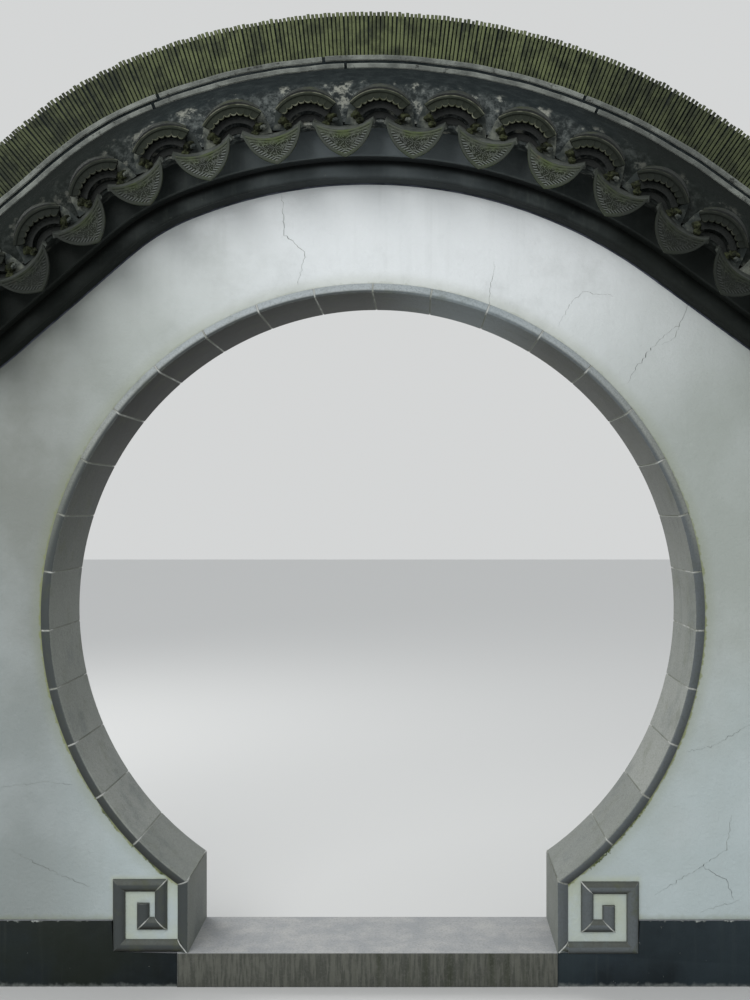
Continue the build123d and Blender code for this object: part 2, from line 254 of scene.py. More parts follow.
# Painted shade: a band near the left end is painted darker still, for the trees' shade; it fades out
# towards the wall's end.
shaded_end = times(ramp(across, -0.65, -1.15), 0.58)
shaded_end = times(shaded_end, ramp(across, -2.1, -1.3))
skin = mix_colours(shaded_end, skin, shaded_end_colour)
limewash = times(ramp(clouds(where, 3.4, 5.0, 0.55), 0.38, 0.7), 0.14)
skin = mix_colours(limewash, skin, fresh_wash_colour)
stains = times(ramp(clouds(where, 2.6, 8.0, 0.7), 0.5, 0.75), 0.26)
skin = mix_colours(stains, skin, stain_colour)
streaks = streaked(where, 0.05, 0.10)
skin = mix_colours(streaks, skin, stain_colour)
from_hub = minus(up, hub_height)
reach = calculate("SQRT", plus(times(across, across), times(from_hub, from_hub)))
ragged = times(clouds(where, 45.0, 4.0, 0.65), 0.027)
beside_ring = ramp(minus(reach, ragged), ring_outer_radius - 0.003, ring_outer_radius - 0.012)
round_ring = ramp(reach, ring_outer_radius + 0.050, ring_outer_radius)
over_plinth = ramp(minus(up, ragged), plinth_height + 0.008, plinth_height - 0.018)
beyond_scroll = larger(minus(across, scroll_right_reach), minus(-scroll_left_reach, across))
over_plinth = times(over_plinth, ramp(beyond_scroll, -0.002, 0.0))
beside_ring = times(beside_ring, scaled(ramp(from_hub, 0.75, -0.1), 0.55, 0.35))
green = larger(beside_ring, times(over_plinth, 0.35))
green = larger(green, times(round_ring, 0.24))
skin = mix_colours(green, skin, moss_stain_colour)
in_scroll = times(ramp(beyond_scroll, 0.018, -0.004), ramp(up, scroll_top + 0.018, scroll_top - 0.004))
in_scroll = times(in_scroll, ramp(mottle, 0.3, 0.62))
skin = mix_colours(times(in_scroll, 0.42), skin, scroll_field_colour)
tufts = minus(reach, times(clouds(where, 85.0, 4.0, 0.7), 0.045))
tufts = times(ramp(tufts, ring_outer_radius - 0.014, ring_outer_radius - 0.019),
              ramp(clouds(where, 9.0, 3.0), 0.46, 0.6))
tufts = times(tufts, ramp(up, foot_height + 0.45, foot_height + 0.1))
skin = mix_colours(tufts, skin, foot_moss_colour)
facing_end = unsigned(surface_facing(where)[0])
end_foot = times(ramp(facing_end, 0.8, 0.95), ramp(up, plinth_height + 0.0015, plinth_height - 0.0015))
end_foot = times(end_foot, ramp(sideways, wall_half_length - 0.02, wall_half_length - 0.01))
skin = mix_colours(end_foot, skin, plinth_colour)
trowelled = plus(times(clouds(where, 4.0, 3.0), 0.75), times(clouds(where, 90.0, 4.0), 0.3))
dryness = between(mottle, 0.78, 0.95)
paint(shader, skin, dryness, roughen(trowelled, 0.006))

for wall_piece in ("end_left", "lower_left", "upper_left", "crown", "upper_right", "lower_right",
                   "end_right"):
    dress(f"wall_{wall_piece}", lime_plaster)


# Cracks in the plaster
# Hairlines where the brickwork has moved, on both faces of the wall. Each is a thin ragged
# thread of dirt, widest in the middle, that stands a hair proud of the plaster.

crack_lines = (
    (0.0018, (-0.296, 2.579), (-0.290, 2.448), (-0.221, 2.393), (-0.244, 2.285)),
    (0.0022, (1.029, 2.219), (0.998, 2.152), (0.948, 2.119), (0.898, 2.064), (0.859, 2.012),
     (0.829, 1.964)),
    (0.0013, (0.998, 2.152), (0.984, 2.110), (0.944, 2.090)),
    (0.0012, (0.786, 2.250), (0.686, 2.262), (0.648, 2.233), (0.605, 2.151)),
    (0.0010, (0.398, 2.363), (0.386, 2.290), (0.375, 2.201)),
    (0.0013, (-1.216, 0.645), (-1.066, 0.664), (-0.980, 0.655)),
    (0.0015, (-1.020, 0.361), (-0.922, 0.322)),
    (0.0015, (-1.184, 0.442), (-1.020, 0.361)),
    (0.0018, (1.024, 0.765), (1.100, 0.778), (1.230, 0.850), (1.340, 0.862)),
    (0.0020, (0.920, 0.296), (1.074, 0.390), (1.152, 0.442), (1.171, 0.557)),
    (0.0015, (1.074, 0.390), (1.152, 0.345), (1.178, 0.280)),
    (0.0014, (1.067, 0.240), (1.197, 0.279)),
)
crack_colour = (0.055, 0.060, 0.055, 1)
crack_step = 0.009
crack_raggedness = 0.0035
crack_proud = 0.0005
crack_sunk = 0.002


def skin_rings(bm, rings):
    """A closed skin through rings of mesh points, each with as many points, its ends shut."""
    for one, other in zip(rings, rings[1:]):
        for here in range(len(one)):
            there = (here + 1) % len(one)
            bm.faces.new((one[here], one[there], other[there], other[here]))
    bm.faces.new(rings[0])
    bm.faces.new(rings[-1])


def skin_over(bm, rings):
    skin_rings(bm, [[bm.verts.new(point) for point in ring] for ring in rings])


def keep_mesh(bm, mesh, crease=35):
    """Turn the faces outwards and keep them, smooth but for edges past the crease."""
    bmesh.ops.recalc_face_normals(bm, faces=bm.faces)
    bm.to_mesh(mesh)
    bm.free()
    mesh.polygons.foreach_set("use_smooth", [True] * len(mesh.polygons))
    mesh.set_sharp_from_angle(angle=radians(crease))


def new_piece(name, bm, crease=35):
    mesh = bpy.data.meshes.new(name)
    keep_mesh(bm, mesh, crease)
    piece = bpy.data.objects.new(name, mesh)
    bpy.context.scene.collection.objects.link(piece)
    return piece


def finish_piece(piece, material, slot, *replaced):
    """Give a piece its material, hang it from the root body and hide the parts it replaces. Its slot is not
    used.
    """
    piece.data.materials.clear()
    piece.data.materials.append(material)
    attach(piece, "root")
    if replaced:
        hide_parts(*replaced)


def keep_piece(name, bm, material, slot, *replaced, crease=35):
    finish_piece(new_piece(name, bm, crease), material, slot, *replaced)


def crack(bm, face, width, corners, chance):
    """A ragged thread along a line of corners, drawn on one face of the wall."""
    centres = []
    for (x, z), (next_x, next_z) in zip(corners, corners[1:]):
        steps = ceil(hypot(next_x - x, next_z - z) / crack_step)
        for step in range(steps):
            share = step / steps
            centres.append((x + share * (next_x - x) + chance.uniform(-1, 1) * crack_raggedness,
                            z + share * (next_z - z) + chance.uniform(-1, 1) * crack_raggedness))
    centres.append(corners[-1])
    rings = []
    for place, (x, z) in enumerate(centres):
        share = place / (len(centres) - 1)
        half = width / 2 * (0.25 + 0.75 * sin(pi * share)) * chance.uniform(0.6, 1.2)
        depth = face * (wall_face + crack_proud)
        back = face * (wall_face - crack_sunk)
        rings.append([(x - half, depth, z), (x + half, depth, z + half), (x + half, back, z),
                      (x - half, back, z)])
    skin_over(bm, rings)


crack_dirt, shader, where = new_material("crack dirt", shine=0.1)
crack_tone = mix_colours(ramp(clouds(where, 9.0), 0.35, 0.65), crack_colour, stain_colour)
paint(shader, crack_tone, clouds(where, 20.0), roughen(clouds(where, 300.0), 0.0005))

chance = Random(4)
bm = bmesh.new()
for face in (-1, 1):
    for width, *corners in crack_lines:
        crack(bm, face, width, corners, chance)
keep_piece("plaster_cracks", bm, crack_dirt, "plaster")


# The plinth
# A band of render at the wall's foot, painted blue-black. Paint has chipped off in places
# and rain splashes a pale line of lime along its bottom edge.

plinth_face = 0.160
plinth_rounding = 0.003
threshold_height = 0.112
threshold_left_end = -0.6365
threshold_right_end = 0.602
jamb_thickness = 0.0365
jamb_outer = foot_half_width + jamb_thickness
scroll_right_drop = 0.008

plinth_faded_colour = (0.015, 0.022, 0.028, 1)
plinth_mossy_shaded_colour = (0.013, 0.017, 0.011, 1)
plinth_blue_colour = (0.022, 0.033, 0.039, 1)
plinth_dust_colour = (0.160, 0.165, 0.175, 1)
plinth_streak_colour = (0.09, 0.10, 0.085, 1)
lime_chip_colour = (0.30, 0.32, 0.30, 1)


def slab(bm, outline, front, back, rounding, segments=2, round_back=False):
    """A flat piece with this outline in X and Z, its front edges rounded over."""
    made = []
    for depth in (front, back):
        made.append([bm.verts.new((x, depth, z)) for x, z in outline])
    faces = [bm.faces.new(made[0]), bm.faces.new(made[1])]
    for here in range(len(outline)):
        there = (here + 1) % len(outline)
        faces.append(bm.faces.new((made[0][here], made[0][there], made[1][there], made[1][here])))
    edges = list(faces[0].edges) + (list(faces[1].edges) if round_back else [])
    bmesh.ops.bevel(bm, geom=edges, offset=rounding, segments=segments, affect="EDGES", profile=0.5)


painted_render, shader, where = new_material("painted render", shine=0.15)
across, _, up = parts(where)
faded = ramp(clouds(where, 4.0, 6.0, 0.65), 0.42, 0.70)
skin = mix_colours(faded, plinth_colour, plinth_faded_colour)
streaks = streaked(where, 0.02, 0.12)
skin = mix_colours(streaks, skin, plinth_streak_colour)
# Greener and darker towards the left: partly moss, partly painted shade of the trees at that end.
side_tone = mix_colours(ramp(across, -0.8, 1.0), plinth_mossy_shaded_colour, plinth_blue_colour)
skin = mix_colours(times(ramp(clouds(where, 2.5, 5.0), 0.35, 0.65), 0.7), skin, side_tone)
chips = ramp(clouds(where, 42.0, 5.0, 0.7), 0.70, 0.74)
top_chips = scaled(clouds(where, 60.0, 4.0, 0.7), 0.040, up)
top_chips = times(ramp(top_chips, plinth_height + 0.017, plinth_height + 0.022),
                  ramp(clouds(where, 13.0, 3.0), 0.44, 0.58))
chips = larger(chips, top_chips)
splash = plus(up, times(clouds(where, 55.0), 0.03))
splash = times(ramp(splash, 0.03, 0.01), 0.5)
lime = larger(chips, splash)
skin = mix_colours(lime, skin, lime_chip_colour)
facing_up = surface_facing(where)[2]
skin = mix_colours(ramp(facing_up, 0.3, 0.9), skin, plinth_dust_colour)
dryness = between(faded, 0.45, 0.8)
uneven = minus(clouds(where, 12.0, 5.0), times(chips, 0.5))
paint(shader, skin, dryness, roughen(uneven, 0.004))

both_faces = (("front", -1), ("back", 1))
scroll_right_foot = threshold_height - scroll_right_drop
plinth_outlines = {
    "left": [(threshold_left_end, 0), (-wall_half_length, 0), (-wall_half_length, plinth_height),
             (-scroll_left_reach, plinth_height), (-scroll_left_reach, threshold_height),
             (threshold_left_end, threshold_height)],
    "right": [(threshold_right_end, 0), (wall_half_length, 0), (wall_half_length, plinth_height),
              (scroll_right_reach, plinth_height), (scroll_right_reach, scroll_right_foot),
              (jamb_outer, scroll_right_foot), (jamb_outer, threshold_height),
              (threshold_right_end, threshold_height)],
}
for side_name, outline in plinth_outlines.items():
    for face_name, face in both_faces:
        bm = bmesh.new()
        slab(bm, outline, face * plinth_face, face * wall_face, plinth_rounding)
        keep_piece(f"plinth_band_{face_name}_{side_name}", bm, painted_render, "plinth_paint",
                   f"plinth_{face_name}_{side_name}")


# The threshold
# One long slab of grey stone across the doorway, trodden smooth and pale on top. Its front
# edge is rounded by feet, and its face is streaked with damp and green.

stone_face = 0.165
threshold_rounding = 0.004

trodden_colour = (0.25, 0.26, 0.265, 1)
trodden_patch_colour = (0.34, 0.34, 0.33, 1)
slab_pit_colour = (0.12, 0.12, 0.11, 1)
slab_patch_colour = (0.060, 0.062, 0.052, 1)
slab_front_colour = (0.052, 0.055, 0.046, 1)
combed_colour = (0.092, 0.095, 0.079, 1)
damp_green_colour = (0.026, 0.031, 0.018, 1)
worn_edge_colour = (0.22, 0.23, 0.27, 1)

# Worn arrises: the corners of a stone, rubbed paler than its faces
worn_arris, given, result = new_shader_group(
    "worn arris", {"Color": colour, "Worn Color": colour, "Position": vector, "Width": number,
                   "Amount": number}, {"Color": colour, "Mask": number})
tree = worn_arris
true_normal = add_node(tree, "ShaderNodeNewGeometry").outputs["Normal"]
softened = add_step("ShaderNodeBevel", {"Radius": given["Width"]}, samples=4)
alike = link_node("ShaderNodeVectorMath", {0: true_normal, 1: softened},
                  operation="DOT_PRODUCT").outputs["Value"]
corner = ramp(alike, 0.995, 0.80)
patchy = ramp(clouds(given["Position"], 45.0, 4.0, 0.7), 0.30, 0.62)
rubbed = times(corner, patchy, given["Amount"])
tree.links.new(mix_colours(rubbed, given["Color"], given["Worn Color"]), result["Color"])
tree.links.new(rubbed, result["Mask"])


def rub_corners(where, skin, worn_colour, width, amount):
    inputs = {"Color": skin, "Worn Color": worn_colour, "Position": where, "Width": width, "Amount": amount}
    return use_group(worn_arris, inputs)["Color"]


# Stone grain: fine speckle and pits
stone_grain, given, result = new_shader_group(
    "stone grain", {"Position": vector, "Size": number, "Depth": number},
    {"Speckle": number, "Normal": vector})
tree = stone_grain
fineness = calculate("DIVIDE", 1.0, given["Size"])
speckle = clouds(given["Position"], fineness, 5.0, 0.7)
swell = clouds(given["Position"], 14.0, 3.0)
relief = plus(times(speckle, 0.4), swell)
tree.links.new(speckle, result["Speckle"])
tree.links.new(add_step("ShaderNodeBump", {"Height": relief, "Distance": given["Depth"]}),
               result["Normal"])


def grained(where, size, depth):
    return use_group(stone_grain, {"Position": where, "Size": size, "Depth": depth})


threshold_stone, shader, where = new_material("threshold stone", shine=0.3)
facing_up = surface_facing(where)[2]
grain = grained(where, 0.008, 0.002)
top_colour = mix_colours(ramp(clouds(where, 9.0, 8.0, 0.7), 0.35, 0.7), trodden_colour,
                         trodden_patch_colour)
combed = ramp(clouds(where, 90.0, 3.0, 0.6, stretch=(1, 1, 0.10)), 0.40, 0.62)
front_colour = mix_colours(combed, slab_front_colour, combed_colour)
streaks = streaked(where, 0.045, 0.8)
front_colour = mix_colours(streaks, front_colour, damp_green_colour)
front_colour = mix_colours(ramp(clouds(where, 16.0, 6.0, 0.7), 0.52, 0.72), front_colour,
                           slab_patch_colour)
skin = mix_colours(ramp(facing_up, 0.35, 0.8), front_colour, top_colour)
skin = mix_colours(times(ramp(grain["Speckle"], 0.45, 0.7), 0.35), skin, slab_pit_colour)
skin = rub_corners(where, skin, worn_edge_colour, 0.006, 0.75)
dryness = between(grain["Speckle"], 0.6, 0.9)
paint(shader, skin, dryness, grain["Normal"])

bm = bmesh.new()
slab(bm, [(threshold_left_end, 0), (threshold_right_end, 0), (threshold_right_end, threshold_height),
          (threshold_left_end, threshold_height)], -stone_face, stone_face, threshold_rounding,
     segments=3, round_back=True)
keep_piece("threshold_slab", bm, threshold_stone, "threshold_stone", "threshold")


# The ring of stones round the doorway
# Curved grey stones, rubbed smooth, with rounded edges, stand a little proud of the plaster
# on both faces. White lime mortar fills the thin joints between them.

stones_each_side = 14
mortar_joint = 0.004
arris_rounding = 0.0045
front_fall = 0.0130
front_fall_power = 2.2
front_steps = 7
joint_rounding = 0.0012
mortar_recess = 0.0012
stone_bends = 8

stone_colours = ((0.140, 0.153, 0.138, 1), (0.295, 0.308, 0.284, 1))
ring_underside_shade_colour = (0.030, 0.031, 0.029, 1)
front_grime_and_shade_colours = ((0.046, 0.054, 0.054, 1), (0.098, 0.112, 0.118, 1))
painted_skylight_colour = (0.390, 0.430, 0.450, 1)
soffit_painted_light_colour = (0.270, 0.320, 0.340, 1)
damp_stone_colour = (0.080, 0.094, 0.076, 1)
stone_stain_colour = (0.085, 0.104, 0.104, 1)
worn_stone_colour = (0.27, 0.28, 0.26, 1)
stone_pit_colour = (0.05, 0.055, 0.05, 1)
stone_moss_colour = (0.070, 0.080, 0.035, 1)
lime_mortar_colour = (0.43, 0.44, 0.42, 1)
old_mortar_colour = (0.20, 0.21, 0.18, 1)
green_mortar_colour = (0.13, 0.14, 0.115, 1)

outer_top = hub_height - sqrt(ring_outer_radius ** 2 - jamb_outer ** 2)
ring_turn = pi - atan(jamb_outer / sqrt(ring_outer_radius ** 2 - jamb_outer ** 2))
stone_turn = ring_turn / stones_each_side
joint_turn = mortar_joint / opening_radius


def moulded_section(thickness, half_depth, inset=0.0):
    """The stones' section: how far each point is from the reveal, and its depth. Each front
    bulges from a rounded arris at the reveal and falls away to the plaster."""
    arris = arris_rounding
    front = [(inset, half_depth - inset - arris), (inset + 0.3 * arris, half_depth - inset - 0.3 * arris)]
    for step in range(front_steps + 1):
        share = step / front_steps
        front.append((arris + share * (thickness - arris - inset),
                      half_depth - inset - front_fall * share ** front_fall_power))
    return front + [(distance, -depth) for distance, depth in reversed(front)]


def bent_bar(bm, start, end, inset=0.0, bends=stone_bends):
    """A bar of the moulded section bent round the hub, its angles measured from the top."""
    close_to_end = joint_rounding / opening_radius
    stops = [(start, joint_rounding), (start + close_to_end, 0.0)]
    stops += [(start + (end - start) * bend / bends, 0.0) for bend in range(1, bends)]
    stops += [(end - close_to_end, 0.0), (end, joint_rounding)]
    rings = []
    for angle, narrowing in stops:
        section = moulded_section(ring_thickness, stone_face, inset + narrowing)
        rings.append([((opening_radius + distance) * sin(angle), depth,
                       (opening_radius + distance) * cos(angle)) for distance, depth in section])
    skin_over(bm, rings)


def new_geometry_tree(name, inputs):
    """A geometry tree with named inputs after its starting geometry."""
    tree = bpy.data.node_groups.new(name, "GeometryNodeTree")
    tree.interface.new_socket("Geometry", in_out="INPUT", socket_type="NodeSocketGeometry")
    tree.interface.new_socket("Geometry", in_out="OUTPUT", socket_type="NodeSocketGeometry")
    for socket_name, kind in inputs.items():
        tree.interface.new_socket(socket_name, in_out="INPUT", socket_type=kind)
    return tree, tree.nodes.new("NodeGroupInput").outputs, tree.nodes.new("NodeGroupOutput").inputs


def grow(name, tree, start, values):
    """Run a geometry tree on a mesh and keep what it makes as a plain mesh piece."""
    piece = bpy.data.objects.new(name, start)
    bpy.context.scene.collection.objects.link(piece)
    modifier = piece.modifiers.new(tree.name, "NODES")
    modifier.node_group = tree
    for socket in tree.interface.items_tree:
        if socket.in_out == "INPUT" and socket.name in values:
            modifier[socket.identifier] = values[socket.name]
    grown = piece.evaluated_get(bpy.context.evaluated_depsgraph_get())
    mesh = bpy.data.meshes.new_from_object(grown)
    piece.modifiers.remove(modifier)
    piece.data = mesh
    mesh.name = name
    return piece


def discard(*pieces):
    for piece in pieces:
        bpy.data.objects.remove(piece)


def end_tree(tree, shapes, given, result):
    """Make any copies real and give them their material, as the last step of a tree."""
    shapes = add_step("GeometryNodeRealizeInstances", {0: shapes})
    shapes = add_step("GeometryNodeSetMaterial", {0: shapes, "Material": given["Material"]})
    tree.links.new(shapes, result[0])


def tone_copies(tree, copies, given, result):
    """Give each copy a tone of its own, and end the tree."""
    tone = link_node("FunctionNodeRandomValue", {"Seed": given["Seed"]}, data_type="FLOAT").outputs[1]
    copies = add_step("GeometryNodeStoreNamedAttribute",
                      {"Geometry": copies, "Name": "tone", "Value": tone}, domain="INSTANCE")
    end_tree(tree, copies, given, result)


whole, real, thing, finish = "NodeSocketInt", "NodeSocketFloat", "NodeSocketObject", "NodeSocketMaterial"

# Stones round the hub: copies of the first stone, each with its own tone
stones_round_hub, given, result = new_geometry_tree(
    "stones round the hub", {"Count": whole, "First Turn": real, "Turn": real, "Hub Height": real,
                             "Seed": whole, "Material": finish})
tree = stones_round_hub
hub = add_step("ShaderNodeCombineXYZ", {2: given["Hub Height"]})
hubs = add_step("GeometryNodePoints", {"Count": given["Count"], "Position": hub})
place = add_node(tree, "GeometryNodeInputIndex").outputs[0]
turn = scaled(place, given["Turn"], given["First Turn"])
turned = add_step("ShaderNodeCombineXYZ", {1: turn})
stones = add_step("GeometryNodeInstanceOnPoints",
                  {"Points": hubs, "Instance": given["Geometry"], "Rotation": turned})
tone_copies(tree, stones, given, result)


def make_stone_material(name, colours, underside_shade_colour, mossy, skylight_amount):
    """Rubbed grey stone: a tone for each stone, pale arrises, dirt on the front with painted shade to
    its left, painted shade where it faces down, and painted light on the front where it tilts up and
    on the underside just right of the crown."""
    material, shader, where = new_material(name, shine=0.3)
    tone = stored(where, "tone")
    _, facing_front, facing_up = surface_facing(where)
    facing_front = unsigned(facing_front)
    grain = grained(where, 0.006, 0.0030)
    patchy = clouds(where, 9.0, 8.0, 0.70)
    shade = plus(times(tone, 0.45), times(patchy, 0.6))
    skin = mix_colours(shade, *colours)
    on_front = times(ramp(facing_front, 0.35, 0.8), ramp(facing_up, 0.22, 0.02))
    across, _, up = parts(where)
    # Painted light: the right side, where more light falls, is painted lighter than the left.
    sunny_side = ramp(across, -0.7, 0.9)
    damp_side = times(ramp(across, -0.91, -1.03), 0.3)
    skin = mix_colours(damp_side, skin, damp_stone_colour)
    stains = streaked(where, 0.060, 0.55)
    stains = larger(stains, times(ramp(clouds(where, 4.5, 7.0, 0.7), 0.5, 0.72), 0.55))
    skin = mix_colours(stains, skin, stone_stain_colour)
    # Dirt on the front faces, painted darker to the left as the shade of the trees there.
    front_grime_and_shade = mix_colours(sunny_side, *front_grime_and_shade_colours)
    skin = mix_colours(on_front, skin, front_grime_and_shade)
    # Painted highlight: the front is painted pale near the top of the ring, where it tilts up to the sky.
    skylight = times(ramp(facing_front, 0.35, 0.8), ramp(facing_up, 0.03, 0.3))
    skylight = times(skylight, ramp(up, hub_height + 0.45, hub_height + 1.0))
    skin = mix_colours(times(skylight, skylight_amount), skin, painted_skylight_colour)
    # Painted shade: faces turned down are painted dark, less so to the right, where more light falls.
    painted_shade = times(ramp(facing_up, 0.15, -0.7), ramp(patchy, 0.05, 0.4))
    painted_shade = times(painted_shade, scaled(sunny_side, -0.35, 1.0))
    skin = mix_colours(painted_shade, skin, underside_shade_colour)
    # Painted reflected light: the underside just right of the crown is painted paler and bluer.
    soffit_light = times(ramp(across, -0.05, 0.28), ramp(across, 0.62, 0.36))
    soffit_light = times(soffit_light, ramp(up, hub_height + 0.6, hub_height + 0.9))
    skin = mix_colours(times(soffit_light, 0.5 * skylight_amount), skin, soffit_painted_light_colour)
    speckle = times(ramp(grain["Speckle"], 0.42, 0.7), 0.35)
    skin = mix_colours(speckle, skin, stone_pit_colour)
    moss = times(ramp(clouds(where, 11.0, 6.0, 0.7), 0.5, 0.72), mossy)
    skin = mix_colours(moss, skin, stone_moss_colour)
    skin = rub_corners(where, skin, worn_stone_colour, 0.004, 0.75)
    dryness = between(grain["Speckle"], 0.55, 0.9)
    paint(shader, skin, dryness, grain["Normal"])
    return material


ring_stone = make_stone_material("ring stone", stone_colours, ring_underside_shade_colour, mossy=0.25,
                                 skylight_amount=0.8)

lime_mortar, shader, where = new_material("lime mortar", shine=0.2)
mortar_tone = mix_colours(ramp(clouds(where, 9.0, 6.0, 0.7), 0.4, 0.62), lime_mortar_colour,
                          old_mortar_colour)
depth = unsigned(parts(where)[1])
greened = times(ramp(depth, 0.15, 0.115), ramp(clouds(where, 2.2, 3.0), 0.62, 0.5))
mortar_tone = mix_colours(times(greened, 0.85), mortar_tone, green_mortar_colour)
paint(shader, mortar_tone, ramp(clouds(where, 80.0), -0.8, 0.6),
      roughen(clouds(where, 160.0, 4.0), 0.0012))


def cut_away(bm, point, outward):
    """Cut off what lies beyond a plane and close the cut."""
    everything = list(bm.verts) + list(bm.edges) + list(bm.faces)
    cut = bmesh.ops.bisect_plane(bm, geom=everything, plane_co=point, plane_no=outward, clear_outer=True)
    rim = [item for item in cut["geom_cut"] if isinstance(item, bmesh.types.BMEdge)]
    if rim:
        bmesh.ops.holes_fill(bm, edges=rim)


first_stone = bmesh.new()
bent_bar(first_stone, joint_turn / 2, stone_turn - joint_turn / 2)
start = bpy.data.meshes.new("ring stone")
keep_mesh(first_stone, start)
ring = grow("ring_stones", stones_round_hub, start, {
    "Count": 2 * stones_each_side - 2, "First Turn": -(stones_each_side - 1) * stone_turn,
    "Turn": stone_turn, "Hub Height": hub_height, "Seed": 3, "Material": ring_stone})
finish_piece(ring, ring_stone, "lining_stone", "ring_stones_upper_left", "ring_stones_upper_right")

both_sides = (("left", -1), ("right", 1))
mitre_fall = (foot_height - outer_top) / jamb_thickness
mitre_down = Vector((-mitre_fall, 0, -1)).normalized()
for side_name, side in both_sides:
    bm = bmesh.new()
    bent_bar(bm, ring_turn - stone_turn + joint_turn / 2, ring_turn + stone_turn / 4)
    bmesh.ops.translate(bm, vec=(0, 0, hub_height), verts=bm.verts)
    cut_away(bm, Vector((foot_half_width, 0, foot_height)) - mitre_down * mortar_joint / 2, mitre_down)
    bmesh.ops.scale(bm, vec=(side, 1, 1), verts=bm.verts)
    keep_piece(f"ring_foot_stone_{side_name}", bm, ring_stone, "lining_stone",
               f"ring_stones_lower_{side_name}")

bm = bmesh.new()
bent_bar(bm, -ring_turn, ring_turn, inset=mortar_recess, bends=140)
bmesh.ops.translate(bm, vec=(0, 0, hub_height), verts=bm.verts)
keep_piece("ring_mortar", bm, lime_mortar, "lining_stone")


# The jambs
# A straight stone on each side carries the ring on the threshold. Its top is cut on the
# slant to meet the lowest curved stone, with a white joint between.

jamb_overlap = 0.02
jamb_mortar_length = 0.03


def upright_bar(bm, side, foot, top, inset=0.0):
    """A straight bar of the moulded section beside the doorway."""
    section = moulded_section(jamb_thickness, stone_face, inset)
    rings = [[(side * (foot_half_width + distance), depth, height) for distance, depth in section]
             for height in (foot, foot + joint_rounding, top)]
    skin_over(bm, rings)


mitre_up = -mitre_down
mitre_point = Vector((foot_half_width, 0, foot_height))
for side_name, side in both_sides:
    turned_over = Vector((side, 1, 1))
    bm = bmesh.new()
    upright_bar(bm, side, threshold_height, foot_height + jamb_overlap)
    cut_away(bm, (mitre_point - mitre_up * mortar_joint / 2) * turned_over, mitre_up * turned_over)
    keep_piece(f"jamb_stone_{side_name}", bm, ring_stone, "lining_stone", f"jamb_{side_name}")
    bm = bmesh.new()
    upright_bar(bm, side, outer_top - jamb_mortar_length, foot_height + jamb_overlap, inset=mortar_recess)
    cut_away(bm, (mitre_point + mitre_up * mortar_joint) * turned_over, mitre_up * turned_over)
    keep_piece(f"jamb_mortar_{side_name}", bm, lime_mortar, "lining_stone")


# The square scrolls
# Moulded bars of grey brick wind inwards beside each jamb, on both faces. Their faces are
# rounded over, they meet in mitres, and some mitres are pointed with white lime.

scroll_bar = 0.040
scroll_left_gap = 0.034
scroll_right_gap = 0.042
scroll_left_tongue_gap = 0.018
scroll_right_tongue_gap = 0.030
scroll_tongue_top = scroll_top - 0.077
scroll_rise = 0.072
scroll_pointing = 0.0035
scroll_pointing_proud = 0.0003
scroll_pointing_sunk = 0.002
scroll_foot_lap = 0.0005
bulge_steps = 10
scroll_colours = ((0.038, 0.043, 0.038, 1), (0.150, 0.158, 0.140, 1))
scroll_underside_shade_colour = (0.026, 0.027, 0.022, 1)

moulded_brick = make_stone_material("moulded brick", scroll_colours, scroll_underside_shade_colour, mossy=0.55,
                                    skylight_amount=0.0)


def scroll_runs(reach, gap, tongue_gap, drop):
    """The bars, each a run between two mitres with its outer edge first, and the white mitres.
    The first is the corner that carries the foot bar on over the jamb."""
    bar = scroll_bar
    inner = jamb_outer + gap
    tongue = inner + bar + tongue_gap
    foot = threshold_height
    rise = foot + scroll_rise
    bars = (
        ((foot_half_width, foot + drop), (jamb_outer, foot + drop), (jamb_outer, foot + bar),
         (jamb_outer - scroll_foot_lap, foot + bar)),
        ((jamb_outer, foot), (reach, foot), (reach - bar, foot + bar), (jamb_outer, foot + bar)),
        ((reach, foot), (reach, scroll_top), (reach - bar, scroll_top - bar), (reach - bar, foot + bar)),
        ((reach, scroll_top), (inner, scroll_top), (inner + bar, scroll_top - bar),
         (reach - bar, scroll_top - bar)),
        ((inner, scroll_top), (inner, rise), (inner + bar, rise + bar), (inner + bar, scroll_top - bar)),
        ((inner, rise), (tongue + bar, rise), (tongue, rise + bar), (inner + bar, rise + bar)),
        ((tongue + bar, rise), (tongue + bar, scroll_tongue_top), (tongue, scroll_tongue_top),
         (tongue, rise + bar)),
    )
    mitres = (
        ((inner, scroll_top), (inner + bar, scroll_top - bar)),
        ((inner, rise), (inner + bar, rise + bar)),
        ((tongue + bar, rise), (tongue, rise + bar)),
    )
    return bars, mitres


def bulge(share):
    """How far the bars' faces stand out, from one edge to the other, as a share of the most."""
    return 0.30 + 0.70 * (1 - abs(2 * share - 1) ** 3)


def mitre_profile(outer, inner, front, back, proud=0.0, shift=(0, 0)):
    """The bars' bulging section where it is cut at a mitre, from its outer to inner corner."""
    profile = [(outer[0] + shift[0], back, outer[1] + shift[1])]
    for step in range(bulge_steps + 1):
        share = step / bulge_steps
        lift = (front - back) * bulge(share) + proud
        profile.append((outer[0] + share * (inner[0] - outer[0]) + shift[0], back + lift,
                        outer[1] + share * (inner[1] - outer[1]) + shift[1]))
    profile.append((inner[0] + shift[0], back, inner[1] + shift[1]))
    return profile


def foot_mitre(side, face, rise, shift):
    """A strip over the jamb's foot, from the doorway's lower corner up to the foot bar's top.
    It lies on the jamb or on the bar's corner, whichever stands further out."""
    over, under = [], []
    for step in range(bulge_steps + 1):
        share = step / bulge_steps
        x = side * (foot_half_width + arris_rounding + share * (jamb_thickness - arris_rounding)) + shift[0]
        z = threshold_height + share * rise + shift[1]
        bar_depth = wall_face + (stone_face - wall_face) * bulge(share)
        depth = max(stone_face - front_fall * share ** front_fall_power, bar_depth)
        over.append((x, face * (depth + scroll_pointing_proud), z))
        under.append((x, face * (depth - scroll_pointing_sunk), z))
    return over + under[::-1]


